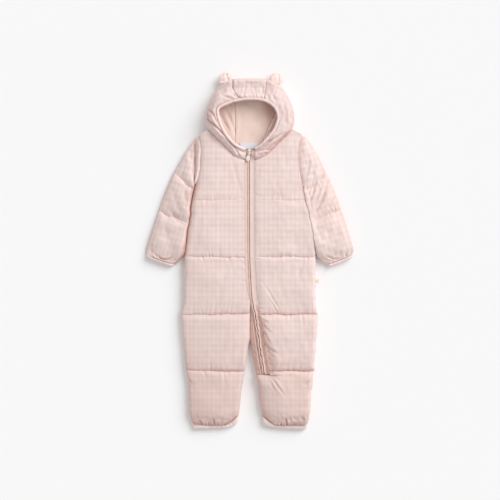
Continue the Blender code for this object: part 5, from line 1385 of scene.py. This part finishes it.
def insetPoint(row, inset):
    # the outline's end of one of the hood's rows, moved in along the row
    start, end = np.array(row[:2]), np.array(row[2:4])
    return end + (start - end) / np.linalg.norm(start - end) * inset


def hoodOutline(inset):
    # the hood's outline moved in along its rows, from the right neck corner over the top to the left one
    points = []
    for side, order in ((right, -1), (left, 1)):
        for row in hood["sides"][side][:10][::order]:
            out, y = insetPoint(row, inset)
            points.append((side * out, y))
    return points


for side in (right, left):
    hoodSide(side)
hoodCentre()
print("hood done")


faceRoll = (    # distance in from the rim, and height above it
    (0.3, 0.6), (0.5, 1.6), (1.2, 2.5), (2.2, 2.9), (3.4, 2.8), (4.6, 2.2), (5.6, 1.1), (6.2, -0.4),
    (6.5, -2.2), (6.4, -3.8), (5.9, -5.3), (5.1, -6.6), (4, -7.3), (2.4, -7.5), (0.6, -7.4), (0.3, -4),
)


def faceBinding():
    # folded binding round the face opening, a soft oval roll that follows the rim and ripples a little
    h = hood
    points = [(-r[0], r[1], r[4]) for r in h["sides"][right][::-1]]
    points += [(r[0], r[1], h["rim"]) for r in h["centre"][1:-1]]
    points += [(r[0], r[1], r[4]) for r in h["sides"][left]]
    points = np.array(points, float)
    lengths = runLengths(points[:, :2])
    run = np.linspace(0, lengths[-1], 300)
    path = np.stack([smooth(lengths, points[:, i], run) for i in range(3)], axis=-1)
    # a light running mean takes the corners out of the path
    kernel = np.hanning(15) / np.hanning(15).sum()
    padded = np.concatenate([np.repeat(path[:1], 7, 0), path, np.repeat(path[-1:], 7, 0)])
    path = np.stack([np.convolve(padded[:, i], kernel, "valid") for i in range(3)], axis=-1)
    tangent = unit(np.gradient(path[:, :2], axis=0))
    inward = joined(tangent[:, 1], -tangent[:, 0])
    profile = np.array(faceRoll)
    ripple = 0.22 * lumps(run, 0 * run, 11.0, 740, 8)
    grow = 1 + 0.035 * lumps(run, 0 * run, 17.0, 741, 8)
    places = path[:, None, :2] + inward[:, None, :] * (profile[None, :, 0] * grow[:, None])[..., None]
    heights = path[:, None, 2] + profile[None, :, 1] + ripple[:, None]
    obj = loft("cloth_face_binding", raised(places, heights), "plain_binding")
    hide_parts("face_binding")


faceBinding()

earForm = {
    "widestAt": 0.36, "rounding": 0.995, "thick": 5.5, "thinnest": 0.55, "low": 17.0, "fall": 3.0,
    "creaseDepth": 2.6, "creaseWidth": 0.16, "edgeDip": 0.4, "lumpSize": 9.0, "lumpHeight": 0.35,
}
ears = {
    right: {"base": (-53.0, 387.2), "tilt": 16.0, "halfWidth": 17.4, "height": 23.5,
            "crease": 0.20, "lean": 0.05, "waist": 0.90},
    left: {"base": (57.8, 387.0), "tilt": -24.0, "halfWidth": 15.8, "height": 24.0,
           "crease": 0.25, "lean": -0.6, "waist": 0.84},
}


def ear(side):
    # stuffed ear: an oval disc standing on its sewn base, with one pinched crease down its front
    e, f = ears[side], earForm
    name = "ear_" + sideWord[side]
    angle = math.radians(e["tilt"])
    across, up = np.array((math.cos(angle), math.sin(angle))), np.array((-math.sin(angle), math.cos(angle)))
    turn = np.linspace(0, 2 * math.pi, 64, endpoint=False)
    part = np.sin(np.linspace(0, math.pi / 2, 34)) * f["rounding"]
    bulge = np.sqrt(1 - (np.maximum(0, part - f["widestAt"]) / (1 - f["widestAt"])) ** 2)
    waist = e["waist"] + (1 - e["waist"]) * np.sin(math.pi / 2 * np.minimum(part / f["widestAt"], 1))
    wide = e["halfWidth"] * bulge * waist
    fuller = (1 - f["thinnest"]) * np.sin(0.6 * math.pi * np.minimum(part / 0.8, 1) + 0.3)
    thick = f["thick"] * (f["thinnest"] + fuller) * np.sqrt(bulge)
    centre = np.array(e["base"]) + up * (part * e["height"])[:, None]
    places = centre[:, None, :] + across * (wide[:, None] * np.cos(turn))[..., None]
    lean = e["crease"] + e["lean"] * (part[:, None] - 0.4)
    front = np.sin(turn) > 0
    fade = np.sin(math.pi * clamped(part * 0.95 + 0.12))[:, None]
    down = f["creaseDepth"] * bell(np.cos(turn) - lean, f["creaseWidth"]) * front * fade
    edge = bell(np.abs(np.cos(turn)) - 0.93, 0.05) * front
    swell = thick[:, None] * np.sign(np.sin(turn)) * np.abs(np.sin(turn)) ** 0.8
    heights = f["low"] - f["fall"] * part[:, None] + swell
    heights = heights - down * (thick / f["thick"])[:, None] - edge * f["edgeDip"]
    uneven = lumps(places[..., 0], places[..., 1], f["lumpSize"], 750 + side)
    heights = heights + f["lumpHeight"] * uneven
    obj = loft("cloth_" + name, raised(places, heights), "plain_binding")
    dress(obj, plain["earCloth"])
    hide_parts(name)


for side in (right, left):
    ear(side)
print("ears done")


# lining, hood back, label and tag

lining = {
    "low": 6.3, "high": 10.9, "inset": 17.4, "top": 366.0, "end": 241.0, "nape": (9.0, 233.0), "gap": 0.15,
    "lumpHeight": 0.5,
    "seams": {    # y and x
        right: ((233, -33), (366, -35)),
        left: ((233, 22.3), (285, 42.5), (318, 59.5), (366, 64)),
    },
}
liningCreases = {
    "centre": (
        (((-26, 344), (-20, 300), (-24, 262)), 5, 0.5), (((30, 330), (26, 296), (20, 262)), 6, 0.9),
        (((-10, 350), (2, 330)), 6, 0.4),
    ),
    right: (
        (((-58, 329), (-48, 308), (-38, 284), (-30, 262)), 3.2, 1.5),
        (((-70, 318), (-60, 296), (-48, 276)), 3, 1.3), (((-50, 336), (-44, 318)), 3, 0.7),
    ),
    left: (
        (((64, 316), (58, 296), (48, 272)), 4, 0.8),
    ),
}


def liningSheet(name, rows, inner, outer, key, change):
    # a flat sheet between two edges, row by row, whose upper face takes the change; its lower face lies flat
    g = lining
    share = np.concatenate([[0, 0.012], np.linspace(0.03, 0.97, 44), [0.988, 1]])
    x = inner[:, None] + (outer - inner)[:, None] * share
    y = np.broadcast_to(rows[:, None], x.shape)
    fromEdge = np.minimum(np.abs(x - inner[:, None]), np.abs(outer[:, None] - x))
    high = g["high"] - 0.2 + g["lumpHeight"] * lumps(x, y, 46.0, key) * step(fromEdge, 0, 8)
    high = high + change(x, y) - 0.9 * bell(fromEdge, 1.3)
    calm = step(y, 252, 268)
    high = (g["high"] - 0.3) * (1 - calm) + high * calm
    top = joined(x, y, high)
    low = top[:, ::-8].copy()
    low[..., 2] = g["low"]
    rings = sideBySide(top, low)
    # painted shade: darkest under the rim above the wearer's left side, lighter over the top, and a little
    # above the wearer's right side
    x, y = rings[..., 0], rings[..., 1]
    paintedShade = 0.85 * step(x, 12, 48) * step(y, 290, 322) + 0.25 * step(y, 322, 352)
    paintedShade = paintedShade + 0.3 * step(-x, 44, 66) * step(y, 300, 325)
    obj = loft("cloth_" + name, rings, "hood_lining", grain=rings[..., :2], paintedShade=np.minimum(paintedShade, 1))
    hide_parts(name)


def seamX(side, y):
    # where the seam between the lining's centre and a side runs, straight between the rows of its table
    return np.interp(y, *zip(*lining["seams"][side]))


def liningPieces():
    # the centre between its two seams, narrower at the nape, and each side from its seam to the hood's wall
    g = lining
    rows = np.concatenate([np.linspace(g["nape"][1], g["end"], 7)[:-1], np.linspace(g["end"], g["top"], 64)])
    taper = clamped((rows - g["nape"][1]) / (g["end"] - g["nape"][1]))
    inner = (seamX(right, rows) + g["gap"]) * taper - g["nape"][0] * (1 - taper)
    outer = (seamX(left, rows) - g["gap"]) * taper + g["nape"][0] * (1 - taper)

    def centreChange(x, y):
        # the centre piece sinks a little towards its left seam
        away = seamX(left, y) - x
        return creases(x, y, liningCreases["centre"]) - 2.2 * bell(away, 7.0) * step(y, 262, 290)

    liningSheet("lining_centre", rows, inner, outer, 800, centreChange)
    for side in (right, left):
        points = np.array([insetPoint(row, g["inset"]) for row in hood["sides"][side][3:10]])
        top = points[0, 1] + 5.0
        rows = np.linspace(g["end"] + 0.5, top, 64)
        keys = np.concatenate([[g["end"]], points[::-1, 1], [top + 0.1]])
        low, high = abs(float(seamX(side, g["end"]))), abs(float(seamX(side, top)))
        outs = np.concatenate([[low + 1.2], points[::-1, 0], [high + 2]])
        inner = seamX(side, rows) + side * g["gap"]
        outer = side * np.interp(rows, keys, outs)

        def sideChange(x, y, side=side):
            # a side piece stands up beside its seam, the left one most, and falls away from it slowly
            away = np.abs(x - seamX(side, y))
            lift = 6.0 if side == left else 0.8
            stand = lift * step(away, 0.2, 3.0) * (1 - step(away, 6, 26)) * step(y, 258, 285)
            return creases(x, y, liningCreases[side]) + stand * (1 - 0.6 * step(y, 320, 345))

        liningSheet("lining_" + sideWord[side], rows, inner, outer, 810 + side, sideChange)


hoodPlate = {
    "inset": 20.3, "centre": (1.0, 310.0), "points": 160,
    "section": (    # share of the way from the centre to the edge, and height
        (0.02, 0), (0.5, 0), (0.985, 0), (0.997, 0.9), (1, 2.4), (1, 4.2), (0.992, 5.4), (0.97, 5.75),
        (0.5, 5.8), (0.02, 5.8),
    ),
}


def hoodBack():
    # the back of the hood on the surface: a plate with a rounded edge, under the lining
    p = hoodPlate
    nape = [(row[1], row[0] + 0.7) for row in body["nape"]]
    closed = np.array(hoodOutline(p["inset"]) + nape[1:] + [(-x, y) for x, y in nape[1:-1][::-1]])
    closed = np.vstack([closed, closed[:1]])
    lengths = runLengths(closed)
    run = np.linspace(0, lengths[-1], p["points"] + 1)[:-1]
    edge = np.stack([np.interp(run, lengths, closed[:, i]) for i in range(2)], axis=-1)
    centre = np.array(p["centre"])
    rings = np.array([raised(centre + (edge - centre) * share, z) for share, z in p["section"]])
    obj = loft("cloth_hood_back", rings, "checked_shell", grain=rings[:, :, :2])
    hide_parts("hood_back")


def plate(name, node, slot, centre, size, low, thick, wave, key):
    # a small rectangle of ribbon or satin, waved a little
    across, up = np.linspace(-0.5, 0.5, 33), np.linspace(-0.5, 0.5, 13)
    x, y = np.meshgrid(centre[0] + across * size[0], centre[1] + up * size[1])
    bend = wave * lumps(x, y, max(size) * 0.8, key, 6) * 0.5 + wave * 0.5
    rows = []
    for i in range(len(up)):
        top = joined(x[i], y[i], low + thick + bend[i])
        under = joined(x[i], y[i], low + bend[i])[::-1]
        rows.append(np.concatenate([top, under]))
    obj = loft(name, np.array(rows), slot)
    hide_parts(node)


liningPieces()
hoodBack()
plate("cloth_neck_label", "neck_label", "label_satin", (-1.6, 241.5), (43.0, 14.0), 11.1, 0.7, 0.4, 830)
tagLeft = float(sideOut(left, -69.5)) + 0.3
# 8 mm wide, under the smallest sheet that can be declared
plate("cloth_side_tag", "side_tag", "tag_ribbon", (tagLeft + 3.2, -69.5), (6.4, 8.0), 10.2, 1.9, 0.2, 831)      # 8 mm wide
print("lining and labels done")


# zip

zipper = {
    "top": 232.0, "end": -284.5, "floor": 17.3,
    "tapes": {right: (-0.15, -7.1), left: (0.15, 3.1)}, "wideTape": 3.7,
    "tapeShares": (0.0, 1.0, 1.0, 0.94, 0.8, 0.6, 0.4, 0.2, 0.06, 0.0),
    "tapeHeights": (0.0, 0.0, 0.8, 1.05, 1.15, 1.15, 1.15, 1.15, 1.05, 0.8),
    "chainTop": 220.7, "chainEnd": -282.0, "chainIn": -3.7, "chainOut": 0.45, "core": (1.3, 1.6),
    "pitch": 2.1, "toothLong": 1.7, "toothWide": 1.8, "toothHigh": 1.3, "toothZ": 2.75,
    "toothSection": ((-1.0, 0.45), (-0.6, 1.0), (0.6, 1.0), (1.0, 0.45)),    # shares of its length and width
    "columns": (-2.85, -1.75), "meander": (0.7, 21.0), "coreShadeY": -118.0,
}
gapShadowSheet = {    # a sheet painted as the shadow in the gap on the wearer's left of the slider: y, distances of both edges, heights
    "ys": (232.0, 229.0, 225.0, 221.0, 218.5), "near": (2.2, 3.0, 3.2, 3.15, 3.1),
    "far": (3.6, 4.3, 4.35, 4.3, 3.7), "low": 1.2, "high": 1.9,
}
strip = {
    "rollStart": 0.5, "rollAtNeck": 4.4, "legRipple": 0.45, "rippleLength": 11.0,
    "roll": ((0.1, 2.1), (0.0, 3.1), (0.08, 3.9), (0.35, 4.35), (1.0, 4.5), (2.4, 4.45), (4.0, 4.4),
             (5.6, 4.35)),
    "barAt": (-6.5, -0.3, 0.6, 3.0, 5.5, 11.0), "barHeights": (1.3, 1.3, 4.6, 4.9, 4.0, 3.8),
}
pullTab = {
    "hinge": (-1.4, 229.0, 26.4), "droop": 10.0, "lean": -5.0, "aside": -1.4,
    "neck": (1.2, 10.2), "neckHalf": 1.05, "neckThick": 0.9,
    # down the drop: its middle and half length, where it is widest, and its half length above and below that
    "dropAt": 17.1, "dropHalf": 6.7, "widestAt": 17.4, "above": 6.9, "below": 6.4, "dropRadius": 5.15,
    "dropThick": 1.05, "tip": 0.35,
    "tube": ((-1.6, 1.25), (-1.6, 1.7), (-1.35, 1.9), (1.35, 1.9), (1.6, 1.7), (1.6, 1.25), (1.35, 1.05),
             (-1.35, 1.05)),
}


def zipFrame(ys):
    # places down the middle of the zip and the direction across it, towards the wearer's left
    wave = np.sin(2 * math.pi * ys / zipper["meander"][1] + 0.8 * np.sin(ys / 13.0))
    x = zipX(ys) + zipper["meander"][0] * step(-ys, 90, 150) * step(ys, -286, -276) * wave
    middle = joined(x, ys)
    tangent = unit(np.gradient(middle, axis=0))
    return middle, joined(-tangent[:, 1], tangent[:, 0])


def zipLoft(name, slot, ys, away, high, paintedShade=None):
    # a profile of distances from the middle and heights above the panels' lips, carried down the zip
    middle, across = zipFrame(ys)
    places = middle[:, None, :] + across[:, None, :] * away[..., None]
    return loft(name, raised(places, zipper["floor"] + high), slot, grain=places, paintedShade=paintedShade)


def tape(side):
    # one tape: a thin strip from the chain out, with a row of stitches down the right one, which shows
    z = zipper
    name = "zip_tape_" + sideWord[side]
    near, far = z["tapes"][side]
    ys = np.linspace(z["top"], z["end"], 260)
    high = np.array(z["tapeHeights"])
    # on the torso the right tape shows wider than down the leg and under the collar
    far = far - z["wideTape"] * step(-ys, -206, -197) * (1 - step(-ys, 60, 108)) * (side == right)
    far = far + 0.8 * step(-ys, 100, 140) * (side == right)
    away = near + (far - near)[:, None] * np.array(z["tapeShares"])
    wave = 0.06 * lumps(ys, 0 * ys, 9.0, 900 + side, 8)[:, None] * (high > 1)
    # painted shade on the tape down the leg
    paintedShade = 0.9 * step(-ys, 105, 150)[:, None] + 0 * away
    obj = zipLoft("cloth_" + name, "zip_tape", ys, away, high + wave, paintedShade)
    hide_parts(name)
    if side == right:
        middle, across = zipFrame(ys)
        stitches("stitches_zip_tape", [raised(middle + across * -5.8, z["floor"] + 1.25)], {"radius": 0.22})


def teeth():
    # two columns of small rounded bars on a core, half a pitch apart, and a sheet painted as the shadow in
    # the gap beside the slider
    z, gap = zipper, gapShadowSheet
    ys = np.linspace(z["chainTop"], z["chainEnd"], 200)
    middle, across = zipFrame(ys)
    inner, outer = z["chainIn"] - 0.3, z["chainOut"]
    low, high = z["core"]
    core = np.array(((inner, low), (outer, low), (outer, high), (inner, high)))
    places = middle[:, None, :] + across[:, None, :] * core[:, :1]
    points, faces = [raised(places, z["floor"] + core[:, 1]).reshape(-1, 3)], ringFaces(len(ys), 4)
    turn = np.linspace(0, 2 * math.pi, 6, endpoint=False)
    size = np.array((z["toothLong"], z["toothWide"], z["toothHigh"])) / 2
    shape = np.array([(a, r * np.cos(t), r * np.sin(t)) for a, r in z["toothSection"] for t in turn]) * size
    one, ends = np.array(ringFaces(4, 6)[:-2]), np.array(ringFaces(4, 6)[-2:])
    start = len(ys) * 4
    for number, away in enumerate(z["columns"]):
        at = np.arange(z["chainTop"] - 1.2 - number * z["pitch"] / 2, z["chainEnd"] + 1.2, -z["pitch"])
        centre, sideways = zipFrame(at)
        down = joined(sideways[:, 1], -sideways[:, 0])
        aside = sideways[:, None, :] * (away + shape[:, :1])
        flat = centre[:, None, :] + aside + down[:, None, :] * shape[:, 1:2]
        points.append(raised(flat, z["floor"] + z["toothZ"] + shape[:, 2]).reshape(-1, 3))
        base = start + 24 * np.arange(len(at))
        faces += (one[None] + base[:, None, None]).reshape(-1, 4).tolist()
        faces += (ends[None] + base[:, None, None]).reshape(-1, 6).tolist()
        start += 24 * len(at)
    middle, across = zipFrame(np.array(gap["ys"]))
    away = np.array((gap["near"], gap["far"], gap["far"], gap["near"])).T
    heights = np.array((gap["low"], gap["low"], gap["high"], gap["high"]))
    dark = middle[:, None, :] + across[:, None, :] * away[..., None]
    points.append(raised(dark, z["floor"] + heights).reshape(-1, 3))
    gapFaces = [[corner + start for corner in face] for face in ringFaces(len(gap["ys"]), 4)]
    faces += gapFaces
    obj = makeMesh("zip_chain_teeth", np.concatenate(points), faces, "zip_tape")
    dress(obj, plain["zipCoil"])
    for name in ("zipCore", "zipGapShadow", "zipCoreShaded"):
        obj.data.materials.append(plain[name])
    whose = np.zeros(len(faces), dtype=np.int32)
    # the core takes painted shade, darker still down the leg, and the gap's sheet a painted shadow
    whose[:(len(ys) - 1) * 4 + 2] = 1
    whose[np.flatnonzero(np.repeat(ys[:-1] < z["coreShadeY"], 4))] = 3
    whose[-len(gapFaces):] = 2
    obj.data.polygons.foreach_set("material_index", whose)
    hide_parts("zip_chain")


def placket():
    # the folded strip beside the zip: a soft roll over the chain's left edge, and flat cloth out to the panel
    z, s = zipper, strip
    ys = np.linspace(z["top"], z["end"], 420)
    neck = step(ys, 203, 217)[:, None]
    leg = step(-ys, 110, 160)[:, None]
    ripple = lumps(ys, 0 * ys, s["rippleLength"], 910, 8)[:, None]
    # a is where the roll starts
    a = s["rollStart"] * (1 - neck) + s["rollAtNeck"] * neck
    a = a + s["legRipple"] * (0.25 + 0.75 * leg) * ripple * (1 - neck) * 0.7
    a = np.maximum(a + 0.35 * leg, z["chainOut"] + 0.05)
    low = 1 - 0.16 * leg + 0.03 * lumps(ys, 0 * ys, 17.0, 911, 8)[:, None]
    slim = 1 - 0.38 * leg
    # on the leg the strip behind the roll starts in a groove and then climbs to the panel
    upper, lower = leg * bell(ys[:, None] + 186, 34), leg * step(-ys, 205, 235)[:, None]
    under = np.minimum((a + 0.9) * (1 - neck) + 3.4 * neck, a + 0.9)
    columns = [(under, 1.35)]
    columns += [(a + x * slim, 1.3 + (h - 1.3) * low - 0.9 * leg * (x > 5)) for x, h in s["roll"]]
    columns += [
        (7.2 - 1.6 * upper, 4.35 - 2.2 * leg + 0.05 * ripple),
        (8.3 - 1.0 * upper, 4.5 - 1.0 * leg + 0.05 * ripple),
        (9.8, 4.85 + 0.6 * upper - 0.2 * lower), (11.3 + 1.2 * neck, 5.2 + 1.2 * upper - 0.3 * lower),
        (11.7 + 1.2 * neck, 5.2 + 1.3 * upper - 0.4 * lower),
        (11.8 + 1.2 * neck, 3.8), (11.8 + 1.2 * neck, 0.0), (3.35, 0.0), (3.35, 1.3),
    ]
    away, high = (np.concatenate([np.broadcast_to(c[i], a.shape) for c in columns], axis=1) for i in (0, 1))
    # painted shade down the leg, most in the groove behind the roll
    paintedShade = leg * (0.55 + 0.45 * bell(away - 7.2, 2.2)) * step(away, 2.2, 5.0) + 0.25 * leg
    obj = zipLoft("cloth_zip_placket", "plain_binding", ys, away, high, paintedShade)
    dress(obj, plain["zipPlacket"])
    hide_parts("zip_placket")
    # a row of stitches down the flat strip, and a bar of them across the end of the zip
    middle, across = zipFrame(ys)
    runs = [raised(middle + across * 7.4, z["floor"] + 3.95)]
    spread = np.linspace(s["barAt"][0], s["barAt"][-1], 24)
    heights = z["floor"] + np.interp(spread, s["barAt"], s["barHeights"])
    for drop in (0.0, 0.8, 1.6):
        spots = middle[-2] + across[-2] * spread[:, None] + np.array((0, 1.2 + drop))
        runs.append(raised(spots, heights))
    stitches("stitches_placket", runs, {"radius": 0.25})


def pull():
    # the pull: a ring on the slider's bar, a slim neck, and a round drop, drooping and leaning as it lies
    p = pullTab
    dropDown = p["dropAt"] - p["dropHalf"] * np.cos(np.linspace(0.0, math.pi, 30))
    down = np.concatenate([np.linspace(*p["neck"], 12), dropDown])
    fromWidest = p["widestAt"] - down
    egg = np.where(fromWidest > 0, fromWidest / p["above"], -fromWidest / p["below"])
    drop = p["dropRadius"] * np.sqrt(np.maximum(1 - egg ** 2, 0.0)) * (down > 9.8)
    wide = np.maximum(np.where(down < 14, p["neckHalf"], 0.3), drop)
    wide[-1] = p["tip"]
    thick = np.where(down > 12, p["dropThick"], p["neckThick"]) * np.minimum(1, wide / 2.2) ** 0.5
    turn = np.linspace(0, 2 * math.pi, 28, endpoint=False)
    across = np.sign(np.cos(turn)) * np.abs(np.cos(turn)) ** 0.8
    up = np.sign(np.sin(turn)) * np.abs(np.sin(turn)) ** 0.7
    shift = p["aside"] * step(down, 8, 14)
    along = np.broadcast_to(-down[:, None], (len(down), len(turn)))
    rings = joined(shift[:, None] + wide[:, None] * across, along, thick[:, None] * up)
    faces = ringFaces(*rings.shape[:2])
    # the ring on the bar: a short tube with rounded edges
    around = np.linspace(0, 2 * math.pi, 32, endpoint=False)
    section = np.array(p["tube"])
    tube = np.stack([np.broadcast_to(section[:, 0], (32, 8)), np.cos(around)[:, None] * section[:, 1],
                     np.sin(around)[:, None] * section[:, 1]], axis=-1)
    count = rings.shape[0] * rings.shape[1]
    faces += [[corner + count for corner in face] for face in ringFaces(32, 8, True)]
    points = np.concatenate([rings.reshape(-1, 3), tube.reshape(-1, 3)])
    lean = mathutils.Matrix.Rotation(math.radians(p["lean"]), 3, "Z")
    droop = mathutils.Matrix.Rotation(math.radians(p["droop"]), 3, "X")
    points = points @ np.array(lean @ droop).T + np.array(p["hinge"])
    obj = makeMesh("zip_pull_drop", points, faces, "zip_plastic", body="pull_tab")
    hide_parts("zip_pull")


for side in (right, left):
    tape(side)
teeth()
placket()
pull()
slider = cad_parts["zip_slider"]      # the slider keeps its form
dress(slider, materials["zip_plastic"])
print("zip done")

buildStudio(studio)
